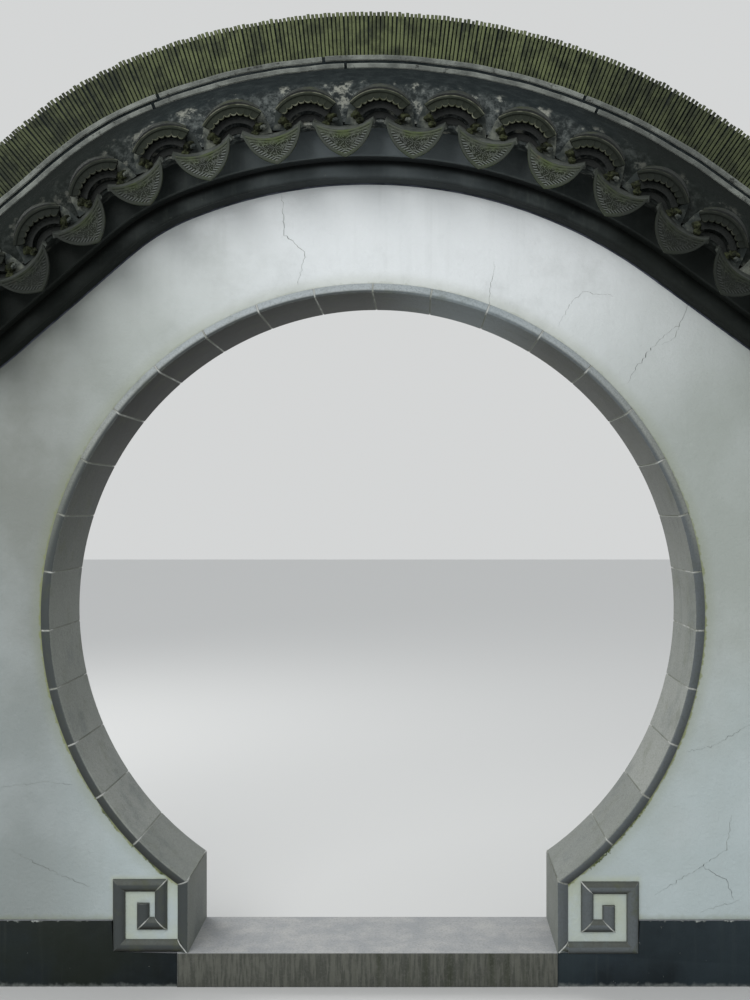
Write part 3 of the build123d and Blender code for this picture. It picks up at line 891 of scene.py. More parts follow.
scroll_sides = (
    ("left", -1, scroll_left_reach, scroll_left_gap, scroll_left_tongue_gap, 0),
    ("right", 1, scroll_right_reach, scroll_right_gap, scroll_right_tongue_gap, scroll_right_drop),
)
for side_name, side, reach, gap, tongue_gap, drop in scroll_sides:
    runs, mitres = scroll_runs(reach, gap, tongue_gap, drop)
    for face_name, face in both_faces:
        front, back = face * stone_face, face * wall_face
        proud = face * scroll_pointing_proud
        bars, pointing = bmesh.new(), bmesh.new()
        for corners in runs:
            outer_start, outer_end, inner_end, inner_start = [(side * x, z - drop) for x, z in corners]
            skin_over(bars, [mitre_profile(outer_start, inner_start, front, back),
                             mitre_profile(outer_end, inner_end, front, back)])
        for corners in mitres:
            outer, inner = [(side * x, z - drop) for x, z in corners]
            across = Vector((inner[1] - outer[1], outer[0] - inner[0])).normalized()
            shift = across * scroll_pointing / 2
            skin_over(pointing, [mitre_profile(outer, inner, front, back, proud, shift),
                                 mitre_profile(outer, inner, front, back, proud, -shift)])
        rise = scroll_bar - drop
        across = Vector((-rise, side * jamb_thickness)).normalized() * scroll_pointing / 2
        skin_over(pointing, [foot_mitre(side, face, rise, across), foot_mitre(side, face, rise, -across)])
        keep_piece(f"scroll_bars_{face_name}_{side_name}", bars, moulded_brick, "scroll_stone",
                   f"scroll_{face_name}_{side_name}", crease=40)
        keep_piece(f"scroll_pointing_{face_name}_{side_name}", pointing, lime_mortar, "scroll_stone")


# The cornice
# Two oversailing courses of brick, smoothed with plaster and washed black, follow the
# swept top of the wall. The wash has run a little on to the white plaster below.

crown_centre_x = -0.013
crown_radius = 1.547
crown_height = hub_height + ring_outer_radius + 0.327
crown_left_turn = radians(22)
haunch_radius = 0.700
flank_left_slope = radians(40.8)
flank_right_slope = radians(36.2)
sweep_radius = 1.500
shoulder_height = 1.700
path_step = 0.02

lower_course_height = 0.061
lower_course_face = wall_face + 0.057
upper_course_face = wall_face + 0.092
roof_top_half_width = 0.110
eave_reach = 0.350
pan_channel_height = 0.107
tile_thickness = 0.012
cover_top_height = 0.230
ridge_base_height = 0.388
ridge_base_clearance = 0.0005
roof_rise = ridge_base_height - ridge_base_clearance - cover_top_height
roof_fall = roof_rise / (eave_reach - roof_top_half_width)
bed_edge = pan_channel_height - tile_thickness + (eave_reach - upper_course_face) * roof_fall

black_wash_colour = (0.018, 0.023, 0.023, 1)
faded_wash_colour = (0.046, 0.054, 0.053, 1)
sheen_wash_colour = (0.115, 0.135, 0.142, 1)
painted_shadow_colour = (0.006, 0.007, 0.007, 1)
wash_run_colour = (0.030, 0.036, 0.050, 1)
thin_run_colour = (0.09, 0.10, 0.13, 1)
wash_streak_colour = (0.075, 0.085, 0.075, 1)
wash_spot_colour = (0.11, 0.12, 0.10, 1)
worn_wash_colour = (0.10, 0.11, 0.10, 1)
tree_shade_colour = (0.008, 0.010, 0.008, 1)


def sweep_centre(x, z, slope, side):
    """Where the curve that eases the flank into the level shoulder has its centre."""
    drop = z - shoulder_height - sweep_radius * (1 - cos(slope))
    return x + side * (drop / tan(slope) + sweep_radius * sin(slope)), shoulder_height + sweep_radius


def wall_top_bends():
    """The curves of the wall's top from left to right: centre, radius, first and last slope.
    A radius below nought is a curve with its centre above."""
    crown = (crown_centre_x, crown_height - crown_radius)
    haunch = (crown[0] - (crown_radius - haunch_radius) * sin(crown_left_turn),
              crown[1] + (crown_radius - haunch_radius) * cos(crown_left_turn))
    left = sweep_centre(haunch[0] - haunch_radius * sin(flank_left_slope),
                        haunch[1] + haunch_radius * cos(flank_left_slope), flank_left_slope, -1)
    right = sweep_centre(crown[0] + crown_radius * sin(flank_right_slope),
                         crown[1] + crown_radius * cos(flank_right_slope), flank_right_slope, 1)
    return ((left, -sweep_radius, 0, flank_left_slope),
            (haunch, haunch_radius, flank_left_slope, crown_left_turn),
            (crown, crown_radius, crown_left_turn, -flank_right_slope),
            (right, -sweep_radius, -flank_right_slope, 0))


def wall_top_line(height):
    """Points of X and Z along the wall's top, at a height above it, from end to end."""
    points = [(-wall_half_length, shoulder_height + height)]
    for (centre_x, centre_z), radius, first, last in wall_top_bends():
        steps = ceil(abs(last - first) * abs(radius) / path_step)
        for step in range(steps + 1):
            slope = first + (last - first) * step / steps
            points.append((centre_x - (radius + height) * sin(slope),
                           centre_z + (radius + height) * cos(slope)))
    points.append((wall_half_length, shoulder_height + height))
    return points


def line_mesh(name, points, shut=False):
    """A mesh of edges only, for a geometry tree to follow."""
    mesh = bpy.data.meshes.new(name)
    edges = [(place, place + 1) for place in range(len(points) - 1)]
    if shut:
        edges.append((len(points) - 1, 0))
    mesh.from_pydata(points, edges, [])
    return mesh


def path_mesh(height):
    return line_mesh("wall top line", [(x, 0, z) for x, z in wall_top_line(height)])


# Tree shade: the coping is painted darkest on both sides of the doorway, for the shade of the trees that
# overhang it
tree_shade, given, result = new_shader_group(
    "tree grime", {"Color": colour, "Position": vector, "Amount": number}, {"Color": colour})
tree = tree_shade
sideways = unsigned(parts(given["Position"])[0])
uneven = scaled(clouds(given["Position"], 3.0, 4.0), 0.3, sideways)
tree_shaded = times(ramp(uneven, 0.62, 1.12), given["Amount"])
tree_shaded = times(tree_shaded, scaled(ramp(sideways, 2.1, 1.5), 0.5, 0.5))
tree.links.new(mix_colours(tree_shaded, given["Color"], tree_shade_colour), result["Color"])


def shade_by_trees(where, skin, amount):
    return use_group(tree_shade, {"Color": skin, "Position": where, "Amount": amount})["Color"]


# Course along the wall's top: a section of depth and height carried along part of the line
course_on_top, given, result = new_geometry_tree(
    "course along the wall top", {"Section": thing, "From": real, "To": real, "Unevenness": real,
                                  "Material": finish})
tree = course_on_top
line = add_step("GeometryNodeMeshToCurve", {0: given["Geometry"]})
line = link_node("GeometryNodeTrimCurve", {0: line}, mode="LENGTH")
tree.links.new(given["From"], line.inputs[4])
tree.links.new(given["To"], line.inputs[5])
line = add_step("GeometryNodeResampleCurve", {"Curve": line.outputs[0], "Length": 0.03}, mode="LENGTH")
line = add_step("GeometryNodeSetCurveNormal", {0: line}, mode="Z_UP")
section = link_node("GeometryNodeObjectInfo", {"Object": given["Section"]}).outputs["Geometry"]
section_height = parts(add_node(tree, "GeometryNodeInputPosition").outputs[0])[1]
section_height = times(section_height, -1.0)
section = add_step("GeometryNodeStoreNamedAttribute",
                   {"Geometry": section, "Name": "height", "Value": section_height})
section = add_step("GeometryNodeMeshToCurve", {0: section})
body = add_step("GeometryNodeCurveToMesh", {"Curve": line, "Profile Curve": section, "Fill Caps": True})
where = add_node(tree, "GeometryNodeInputPosition").outputs[0]
wave = link_node("ShaderNodeTexNoise", {"Vector": where, "Scale": 9.0, "Detail": 3.0}).outputs[1]
wave = add_step("ShaderNodeVectorMath", {0: wave, 1: (0.5, 0.5, 0.5)}, operation="SUBTRACT")
wave = add_step("ShaderNodeVectorMath", {0: wave, 3: given["Unevenness"]}, operation="SCALE")
wave = add_step("ShaderNodeVectorMath", {0: wave, 1: (0, 1, 1)}, operation="MULTIPLY")
body = add_step("GeometryNodeSetPosition", {"Geometry": body, "Offset": wave})
end_tree(tree, body, given, result)


def course(name, section, material, start=0.0, end=100.0, unevenness=0.002):
    """One course: its section, listed foot first on one side, is mirrored to the other. The
    sweep turns a section's heights downwards, so they are given to it below nought."""
    outline = section + [(-depth, height) for depth, height in reversed(section)]
    outline = [(depth, -height, 0) for depth, height in outline]
    profile = bpy.data.objects.new("section", line_mesh("section", outline, shut=True))
    bpy.context.scene.collection.objects.link(profile)
    piece = grow(name, course_on_top, path_mesh(0), {
        "Section": profile, "From": start, "To": end, "Unevenness": unevenness, "Material": material})
    discard(profile)
    bm = bmesh.new()
    bm.from_mesh(piece.data)
    bmesh.ops.remove_doubles(bm, verts=bm.verts, dist=0.00001)
    keep_mesh(bm, piece.data)
    return piece


black_wash, shader, where = new_material("black wash", shine=0.12)
patchy = clouds(where, 5.0, 6.0, 0.65)
skin = mix_colours(ramp(patchy, 0.38, 0.72), black_wash_colour, faded_wash_colour)
streaks = streaked(where, 0.018, 0.25)
skin = mix_colours(streaks, skin, wash_streak_colour)
skin = mix_colours(times(ramp(clouds(where, 30.0, 6.0, 0.75), 0.62, 0.7), 0.5), skin, wash_spot_colour)
section_height = stored(where, "height")
wavering = scaled(clouds(where, 7.0, 4.0), 0.016, section_height)
# Painted shadow: the lower course is painted near black under the upper course's overhang and along its
# bottom edge.
under_overhang = ramp(wavering, 0.040, 0.060)
under_overhang = times(under_overhang, ramp(section_height, 0.0625, 0.0605))
low_edge = ramp(wavering, 0.022, 0.010)
painted_shadow = larger(under_overhang, times(low_edge, 0.7))
# Painted light: the cornice is painted paler towards the middle and on the upper course.
across = parts(where)[0]
painted_sheen = times(ramp(unsigned(across), 0.62, 0.05), 0.95)
painted_sheen = times(painted_sheen, scaled(ramp(section_height, 0.0615, 0.066), 0.45, 0.55))
skin = mix_colours(painted_sheen, skin, sheen_wash_colour)
skin = mix_colours(times(painted_shadow, 0.9), skin, painted_shadow_colour)
skin = rub_corners(where, skin, worn_wash_colour, 0.006, 0.6)
# Painted shade of the trees towards the sides.
skin = shade_by_trees(where, skin, 0.75)
dryness = between(patchy, 0.55, 0.85)
paint(shader, skin, dryness, roughen(clouds(where, 22.0, 6.0), 0.004))

wash_run, shader, where = new_material("wash run", shine=0.2)
run_tone = mix_colours(ramp(clouds(where, 18.0, 5.0), 0.35, 0.65), wash_run_colour, thin_run_colour)
paint(shader, run_tone, ramp(clouds(where, 40.0), -0.8, 0.6), roughen(clouds(where, 90.0), 0.001))

lower_course = course("cornice_course_lower",
                      [(lower_course_face - 0.016, 0.0), (lower_course_face - 0.007, 0.003),
                       (lower_course_face - 0.002, 0.012), (lower_course_face, 0.024),
                       (lower_course_face - 0.0015, 0.038), (lower_course_face - 0.006, 0.052),
                       (lower_course_face - 0.012, lower_course_height)], black_wash)
finish_piece(lower_course, black_wash, "cornice", "cornice_lower_left", "cornice_lower_crown",
             "cornice_lower_right")
upper_course = course("cornice_course_upper", [
    (upper_course_face - 0.004, lower_course_height), (upper_course_face, lower_course_height + 0.004),
    (upper_course_face, bed_edge - 0.004), (upper_course_face - 0.004, bed_edge)], black_wash)
finish_piece(upper_course, black_wash, "cornice", "cornice_upper_left", "cornice_upper_crown",
             "cornice_upper_right")
paint_edge = course("cornice_paint_edge", [(wall_face + 0.0006, -0.005), (wall_face + 0.0006, 0.001)],
                    wash_run, unevenness=0.0012)
finish_piece(paint_edge, wash_run, "cornice")


# The roof's bed
# Mortar on brick carries the tiles. Only its edge shows, in the dark hollows under the rows
# of covers, so it keeps the frame's plain shape. It is painted near black, as painted shade of
# those hollows and of the ridge's groove and core; at the wall's ends its cut mortar is paler.

bed_shade_colour = (0.009, 0.013, 0.014, 1)
bed_lit_colour = (0.024, 0.029, 0.030, 1)
cut_mortar_colours = ((0.040, 0.047, 0.046, 1), (0.095, 0.105, 0.098, 1))


def bare_ends(lumps, tone):
    """Paler mortar where it was cut off flush at the wall's ends."""
    end_tone = mix_colours(ramp(lumps, 0.35, 0.65), *cut_mortar_colours)
    facing_end = unsigned(surface_facing(lumps)[0])
    return mix_colours(ramp(facing_end, 0.80, 0.95), tone, end_tone)


bed_mortar, shader, where = new_material("bed mortar", shine=0.08)
lumps = clouds(where, 26.0, 6.0, 0.7)
# Painted shade: near black for the hollows it lies in.
bed_tone = mix_colours(ramp(lumps, 0.40, 0.70), bed_shade_colour, bed_lit_colour)
bed_tone = bare_ends(lumps, bed_tone)
paint(shader, bed_tone, ramp(lumps, -0.9, 0.7), roughen(lumps, 0.008))
for place_name in ("left", "crown", "right"):
    dress(f"roof_bed_{place_name}", bed_mortar)


# The rows of pans
# Hollow grey clay tiles lie in rows down the slope, each tucked under the next one up.
# Between the covers their channels are damp, mossy and spotted with lime.

row_line_height = 0.150
row_pitch = 0.2254
first_row_shift = 0.042
pan_width = 0.184
pan_dip = 0.027
pan_exposure = 0.080
pan_tuck = 0.030
pan_lift = 0.003
pan_sink = 0.004
shortest_pan = 0.01
tile_bends = 10

clay_colours = ((0.026, 0.031, 0.028, 1), (0.080, 0.088, 0.078, 1))
tile_moss_colour = (0.042, 0.050, 0.014, 1)
tile_lime_colour = (0.24, 0.25, 0.21, 1)
worn_clay_colour = (0.11, 0.12, 0.09, 1)

# Moss: grows in patches, most of all on what faces the sky
moss_patches, given, result = new_shader_group(
    "moss patches", {"Position": vector, "Patch Size": number, "Amount": number, "Sky Share": number},
    {"Mask": number})
tree = moss_patches
sky = surface_facing(given["Position"])[2]
fineness = calculate("DIVIDE", 1.0, given["Patch Size"])
growth = clouds(given["Position"], fineness, 7.0, 0.72)
growth = scaled(sky, given["Sky Share"], growth)
growth = plus(growth, given["Amount"])
tree.links.new(ramp(growth, 0.85, 1.15), result["Mask"])


def mossed(where, patch_size, amount, sky_share):
    inputs = {"Position": where, "Patch Size": patch_size, "Amount": amount, "Sky Share": sky_share}
    return use_group(moss_patches, inputs)["Mask"]


def make_clay_material(name, colours, moss_amount, lime_amount, end_shadow=0.0):
    """Grey clay, not glazed: a tone for each tile, moss in patches, spots of lime, painted shadow on its
    ends and painted shade of trees at the sides.
    """
    material, shader, where = new_material(name, shine=0.2)
    tone = stored(where, "tone")
    grain = grained(where, 0.008, 0.005)
    patchy = clouds(where, 16.0, 8.0, 0.72)
    shade = plus(times(tone, 0.35), ramp(patchy, 0.36, 0.66))
    skin = mix_colours(shade, *colours)
    moss = times(mossed(where, 0.05, moss_amount, 0.35), 0.8)
    skin = mix_colours(moss, skin, tile_moss_colour)
    lime = ramp(clouds(where, 20.0, 7.0, 0.75), 0.72 - lime_amount, 0.78 - lime_amount)
    skin = mix_colours(times(lime, 0.7), skin, tile_lime_colour)
    skin = rub_corners(where, skin, worn_clay_colour, 0.003, 0.35)
    # Painted shadow: tile ends facing down the slope are painted dark.
    facing_out = unsigned(surface_facing(where)[1])
    end_shadow_mask = times(ramp(facing_out, 0.85, 0.97), end_shadow)
    skin = mix_colours(end_shadow_mask, skin, painted_shadow_colour)
    # Painted shade of the trees towards the sides.
    skin = shade_by_trees(where, skin, 0.45)
    dryness = between(grain["Speckle"], 0.5, 0.9)
    paint(shader, skin, dryness, grain["Normal"])
    return material


pan_clay = make_clay_material("pan clay", clay_colours, moss_amount=0.04, lime_amount=0.10)


def bent_tile(bm, radius, half_angle, thickness, ends):
    """A tile bent about a level line. ends lists depth and the height of its middle; a
    radius below nought makes it hollow."""
    rings = []
    for depth, middle_height in ends:
        centre = middle_height - radius
        upper, lower = [], []
        for bend in range(tile_bends + 1):
            angle = half_angle * (2 * bend / tile_bends - 1)
            upper.append((radius * sin(angle), depth, centre + radius * cos(angle)))
            below = radius - thickness
            lower.append((below * sin(angle), depth, centre + below * cos(angle)))
        rings.append(upper + lower[::-1])
    skin_over(bm, rings)


def row_start(shift):
    """How many rows fit, and how far along the row line the first one lies."""
    line = wall_top_line(row_line_height)
    crown_top = (crown_centre_x, crown_height + row_line_height)
    passed, to_crown = 0.0, None
    for (x, z), (next_x, next_z) in zip(line, line[1:]):
        if to_crown is None and next_x > crown_top[0]:
            to_crown = passed + hypot(crown_top[0] - x, crown_top[1] - z)
        passed += hypot(next_x - x, next_z - z)
    start = (to_crown + first_row_shift + shift * row_pitch) % row_pitch
    return int((passed - start) / row_pitch) + 1, start


def spots_along(tree, given, along, lean):
    """Spots at these distances along a line, and the turn that sets a piece square to the
    line there, but for a small random lean."""
    line = add_step("GeometryNodeMeshToCurve", {0: given["Geometry"]})
    sampled = link_node("GeometryNodeSampleCurve", {"Curves": line, "Length": along}, mode="LENGTH",
                        use_all_curves=True).outputs
    spots = add_step("GeometryNodePoints", {"Count": given["Count"]})
    spots = add_step("GeometryNodeSetPosition", {"Geometry": spots, "Position": sampled["Position"]})
    spots = add_step("GeometryNodeStoreNamedAttribute",
                     {"Geometry": spots, "Name": "heading", "Value": sampled["Tangent"]},
                     data_type="FLOAT_VECTOR")
    heading = add_node(tree, "GeometryNodeInputNamedAttribute", {"Name": "heading"},
                       data_type="FLOAT_VECTOR").outputs[0]
    along_x, _, along_z = parts(heading)
    sway = link_node("FunctionNodeRandomValue", {"Seed": given["Seed"], 2: -1.0, 3: 1.0},
                     data_type="FLOAT").outputs[1]
    slope = scaled(sway, lean, calculate("ARCTAN2", along_z, along_x))
    turned = add_step("ShaderNodeCombineXYZ", {1: times(slope, -1.0)})
    return spots, turned


# Rows along the wall top: copies of one row, square to the line and evenly spaced along it
rows_on_top, given, result = new_geometry_tree(
    "rows along the wall top", {"Row": thing, "Count": whole, "First": real, "Pitch": real, "Wobble": real,
                                "Seed": whole, "Material": finish})
tree = rows_on_top
place = add_node(tree, "GeometryNodeInputIndex").outputs[0]
along = scaled(place, given["Pitch"], given["First"])
spots, turned = spots_along(tree, given, along, given["Wobble"])
row = link_node("GeometryNodeObjectInfo", {"Object": given["Row"]}).outputs["Geometry"]
rows = add_step("GeometryNodeInstanceOnPoints", {"Points": spots, "Instance": row, "Rotation": turned})
tone_copies(tree, rows, given, result)


def lay_rows(name, bm, shift, material, slot, *replaced, seed, wobble=0.006, crease=35):
    """Lay copies of a row along the wall's top and cut them flush at the wall's ends. shift
    is in rows: 0 for the covers, a half for the pans between them. The row's heights are
    given above the wall's top, so it is let down to the row line first."""
    row = new_piece("one row", bm, crease)
    row.data.transform(Matrix.Translation((0, 0, -row_line_height)))
    count, start = row_start(shift)
    laid = grow(name, rows_on_top, path_mesh(row_line_height), {
        "Row": row, "Count": count, "First": start, "Pitch": row_pitch, "Wobble": wobble, "Seed": seed,
        "Material": material})
    discard(row)
    bm = bmesh.new()
    bm.from_mesh(laid.data)
    for side in (-1, 1):
        cut_away(bm, (side * wall_half_length, 0, 0), (side, 0, 0))
    bm.to_mesh(laid.data)
    bm.free()
    finish_piece(laid, material, slot, *replaced)


pan_radius = ((pan_width / 2) ** 2 + pan_dip ** 2) / (2 * pan_dip)
pan_half_angle = -atan(pan_width / 2 / sqrt(pan_radius ** 2 - (pan_width / 2) ** 2))
for face_name, face in both_faces:
    bm = bmesh.new()
    reach = eave_reach
    while reach > roof_top_half_width + shortest_pan:
        upper_end = max(reach - pan_exposure - pan_tuck, roof_top_half_width)
        low = pan_channel_height + (eave_reach - reach) * roof_fall
        high = pan_channel_height + (eave_reach - upper_end) * roof_fall
        bent_tile(bm, -pan_radius, pan_half_angle, tile_thickness,
                  ((face * reach, low + pan_lift), (face * upper_end, high - pan_sink)))
        reach -= pan_exposure
    lay_rows(f"pan_rows_{face_name}", bm, 0.5, pan_clay, "roof_tile", f"pan_tiles_{face_name}", seed=11)


# The drip tiles
# A leaf-shaped plate hangs from the lowest pan of each row and throws the rain clear of
# the wall. It was pressed in a mould: a raised rim, curved ribs along its top, and a bed of
# curls between veins. Moss grows on it in patches. The pattern's hollows are painted near black
# and its raised curls pale: painted shade and highlights of relief too fine for the mesh.

drip_drop = 0.083
drip_bulge = 0.020
drip_thickness = 0.014
drip_columns = 64
drip_rows = 26
drip_rim = 0.0075
drip_rib_pitch = 0.0085
drip_rib_zone = 0.027
drip_relief = 0.0050
drip_clearance = 0.001

drip_colours = ((0.034, 0.039, 0.032, 1), (0.078, 0.086, 0.070, 1))
drip_moss_colour = (0.060, 0.080, 0.028, 1)
drip_rust_colour = (0.085, 0.064, 0.042, 1)
drip_relief_shade_colour = (0.005, 0.007, 0.004, 1)
drip_rim_colour = (0.030, 0.035, 0.030, 1)
drip_highlight_colour = (0.150, 0.165, 0.155, 1)

drip_clay, shader, where = new_material("drip tile clay", shine=0.18)
tone = stored(where, "tone")
raised = stored(where, "raised")
leaf = stored(where, "leaf", "Vector")
off_middle, below_top, from_rim = parts(leaf)
grain = grained(where, 0.006, 0.002)
shade = plus(times(tone, 0.5), times(clouds(where, 22.0, 6.0), 0.5))
skin = mix_colours(shade, *drip_colours)
moss = ramp(clouds(where, 17.0, 6.0, 0.7), 0.34, 0.60)
in_middle = ramp(unsigned(off_middle), 0.06, 0.015)
moss = times(moss, scaled(in_middle, 0.55, 0.35))
skin = mix_colours(moss, skin, drip_moss_colour)
rust = ramp(clouds(where, 24.0, 5.0, 0.7), 0.60, 0.72)
skin = mix_colours(times(rust, 0.6), skin, drip_rust_colour)
# The curls and veins that the mould pressed into the plate, too fine for its mesh
curls = link_node("ShaderNodeTexVoronoi", {"Vector": leaf, "Scale": 72.0},
                  feature="F1").outputs["Distance"]
curls = calculate("SINE", times(curls, 14.0))
veins = plus(times(below_top, 820.0), times(unsigned(off_middle), -330.0))
veins = calculate("SINE", veins)
beside_rim = ramp(from_rim, 0.024, 0.016)
pressed = add_step("ShaderNodeMix", {0: beside_rim, 2: curls, 3: veins})
in_panel = times(ramp(below_top, drip_rib_zone * 0.2, drip_rib_zone * 1.1),
                 ramp(from_rim, drip_rim, drip_rim + 0.002))
pressed = times(ramp(pressed, -0.6, 0.6), in_panel)
lines = times(in_panel, ramp(pressed, 0.45, 0.0))
# Painted shade: the low parts of the pattern and the hollows inside the rim are painted near black.
hollow = larger(ramp(raised, 0.55, 0.1), lines)
skin = mix_colours(times(hollow, 0.9), skin, drip_relief_shade_colour)
# Painted highlight: the raised curls, most of all beside the rim, are painted pale.
relief_highlight = times(scaled(beside_rim, 0.45, 0.3), pressed)
skin = mix_colours(relief_highlight, skin, drip_highlight_colour)
skin = mix_colours(times(ramp(raised, 0.85, 1.0), 0.8), skin, drip_rim_colour)
# Painted shade of the trees towards the sides.
skin = shade_by_trees(where, skin, 0.82)
dryness = between(grain["Speckle"], 0.55, 0.9)
paint(shader, skin, dryness, roughen(pressed, 0.0022, grain["Normal"]))

pan_arc_centre = pan_channel_height + pan_radius


def drip_plate(bm, face):
    """One plate: a grid of columns from its hollow top edge to its bowed lower edge. Each
    point knows how high the pattern stands there and where on the plate it is."""
    raised_layer = bm.verts.layers.float.new("raised")
    leaf_layer = bm.verts.layers.float_vector.new("leaf")
    half, tip, fall = pan_width / 2, pan_channel_height - drip_drop, pan_dip + drip_drop
    side_length = hypot(half, fall)
    columns = []
    for column in range(drip_columns + 1):
        place = 2 * column / drip_columns - 1
        share = abs(place)
        bow = 4 * share * (1 - share) * drip_bulge
        x = (share * half + bow * fall / side_length) * (1 if place > 0 else -1)
        bottom = tip + share * fall - bow * half / side_length
        top = pan_arc_centre - sqrt(pan_radius ** 2 - x ** 2)
        column_verts = []
        for row_number in range(drip_rows + 1):
            z = top + row_number / drip_rows * (bottom - top)
            straight = (z - tip - abs(x) * fall / half) * half / side_length
            along = (abs(x) * half + (z - tip) * fall) / side_length ** 2
            from_rim = straight + 4 * along * (1 - along) * drip_bulge
            below_top = (top - z) * cos(x / pan_radius)
            raised = 0.25
            if below_top < drip_rib_zone:
                raised = 0.1 + 0.75 * abs(sin(pi * below_top / drip_rib_pitch))
            if from_rim < drip_rim:
                raised = 1.0
            depth = face * (eave_reach + drip_thickness - drip_relief * (1 - raised))
            vert = bm.verts.new((x, depth, z))
            vert[raised_layer] = raised
            vert[leaf_layer] = (x, below_top, from_rim)
            column_verts.append(vert)
        for z in (bottom, top):
            column_verts.append(bm.verts.new((x, face * (eave_reach + drip_clearance), z)))
        columns.append(column_verts)
    skin_rings(bm, columns)


for face_name, face in both_faces:
    bm = bmesh.new()
    drip_plate(bm, face)
    lay_rows(f"drip_plates_{face_name}", bm, 0.5, drip_clay, "drip_tile", f"drip_tiles_{face_name}",
             seed=12, wobble=0.03, crease=60)


# The rows of covers
# Humped grey clay tiles close the joints between the pans. The lowest ends in a flange
# with a scalloped lower edge, and more tile ends show close above and inside it.

cover_width = 0.174
cover_rise = 0.039
cover_lip_rise = 0.010
cover_reaches = (0.350, 0.326, 0.250, 0.180)
cover_length = 0.100
cover_step = 0.006
cover_sink = 0.003
flange_room = 0.016
scallops = 8
flange_depth = 0.021
scallop_depth = 0.0075
inner_tile_drop = 0.025
inner_tile_thickness = 0.020
inner_tile_setback = 0.022
inner_tile_length = 0.09
inner_tile_spread = 0.04

cover_colours = ((0.012, 0.015, 0.014, 1), (0.036, 0.041, 0.036, 1))
flange_shaded_colours = ((0.006, 0.008, 0.006, 1), (0.026, 0.031, 0.021, 1))
flange_edge_colours = ((0.040, 0.046, 0.024, 1), (0.175, 0.180, 0.130, 1))

cover_clay = make_clay_material("cover clay", cover_colours, moss_amount=0.10, lime_amount=0.02,
                                end_shadow=0.8)

flange_clay, shader, where = new_material("flange clay", shine=0.18)
edge = stored(where, "edge")
grain = grained(where, 0.006, 0.0025)
# Painted shade: the flange is painted darker than the covers, for its face tilts up to the sky.
skin = mix_colours(clouds(where, 30.0, 6.0, 0.7), *flange_shaded_colours)
# Painted highlight: the marked edges of the flange are painted pale.
lit_edge = mix_colours(ramp(clouds(where, 45.0, 4.0), 0.35, 0.65), *flange_edge_colours)
skin = mix_colours(ramp(edge, 0.35, 0.85), skin, lit_edge)
# Painted shade of the trees towards the sides.
skin = shade_by_trees(where, skin, 0.8)
paint(shader, skin, ramp(grain["Speckle"], -0.9, 0.7), grain["Normal"])

cover_radius = ((cover_width / 2) ** 2 + cover_rise ** 2) / (2 * cover_rise)
cover_half_angle = atan(cover_width / 2 / sqrt(cover_radius ** 2 - (cover_width / 2) ** 2))


def scalloped_flange(bm, face):
    """The turned-down end of the lowest cover: a smooth band, a groove, then a rim that
    hangs in scallops. Points on both edges are marked, for their painted highlights."""
    edge_layer = bm.verts.layers.float.new("edge")
    outer = cover_radius + cover_lip_rise
    centre = cover_top_height - cover_radius
    steps = scallops * 8
    rings = []
    for step in range(steps + 1):
        share = step / steps
        angle = cover_half_angle * (2 * share - 1)
        lobe = cover_radius - flange_depth - scallop_depth * sqrt(abs(sin(pi * scallops * share)))
        points = ((outer - 0.003, eave_reach - 0.02, 0), (outer, eave_reach - 0.012, 0.75),
                  (outer - 0.009, eave_reach - 0.009, 0), (outer - 0.012, eave_reach - 0.013, 0),
                  (lobe + 0.005, eave_reach - 0.003, 0), (lobe + 0.002, eave_reach, 1),
                  (lobe, eave_reach - 0.002, 1), (lobe, eave_reach - 0.008, 0),
                  (outer - 0.014, eave_reach - 0.022, 0))
        ring = []
        for radius, depth, marked in points:
            vert = bm.verts.new((radius * sin(angle), face * depth, centre + radius * cos(angle)))
            vert[edge_layer] = marked
            ring.append(vert)
        rings.append(ring)
    skin_rings(bm, rings)


for face_name, face in both_faces:
    bm = bmesh.new()
    for reach in cover_reaches:
        upper_end = max(reach - cover_length, roof_top_half_width)
        low = cover_top_height + (eave_reach - reach) * roof_fall
        high = cover_top_height + (eave_reach - upper_end) * roof_fall
        start = reach - flange_room if reach == eave_reach else reach
        bent_tile(bm, cover_radius, cover_half_angle, tile_thickness,
                  ((face * start, low + cover_step), (face * upper_end, high - cover_sink)))
    for inner in (1, 2):
        inner_drop = inner * inner_tile_drop
        inner_top = cover_top_height - inner_drop
        inner_reach = eave_reach - inner * inner_tile_setback
        bent_tile(bm, cover_radius - inner_drop, cover_half_angle * (1 + inner_tile_spread * inner),
                  inner_tile_thickness,
                  ((face * inner_reach, inner_top),
                   (face * (inner_reach - inner_tile_length), inner_top + inner_tile_length * roof_fall)))
    lay_rows(f"cover_rows_{face_name}", bm, 0, cover_clay, "roof_tile", f"cover_tiles_{face_name}", seed=21)
    bm = bmesh.new()
    scalloped_flange(bm, face)
    lay_rows(f"cover_flanges_{face_name}", bm, 0, flange_clay, "roof_tile", seed=21)


# The mortar under the covers
# A rib of mortar up the slope carries each row of covers. At the eave, lumps of it have
# squeezed out beside the pans, some mossy and some still white with lime. The rib and the
# mossy lumps are painted near black: partly moss, partly painted shade of the hollow under
# the covers.

rib_width = 0.060
rib_setback = 0.055
rib_sink = 0.010
rib_clearance = 0.004
lump_places = ((-0.074, 0.166, 0.015, 0.034), (-0.062, 0.146, 0.012, 0.030),
               (0.075, 0.160, 0.016, 0.036), (0.058, 0.146, 0.012, 0.040))
dab_places = ((0.088, 0.150, 0.010, 0.026), (0.100, 0.196, 0.012, 0.085))
lump_roughness = 0.60
lump_flatness = 0.8
bank_section = ((0.050, 0.108), (0.080, 0.164), (0.086, 0.182), (0.091, 0.180), (0.098, 0.158),
                (0.104, 0.132), (0.111, 0.108))
bank_reaches = (0.045, 0.112)
bank_lengths = 9
bank_ripple = 45
bank_sway = 0.004
bank_swell = 0.009

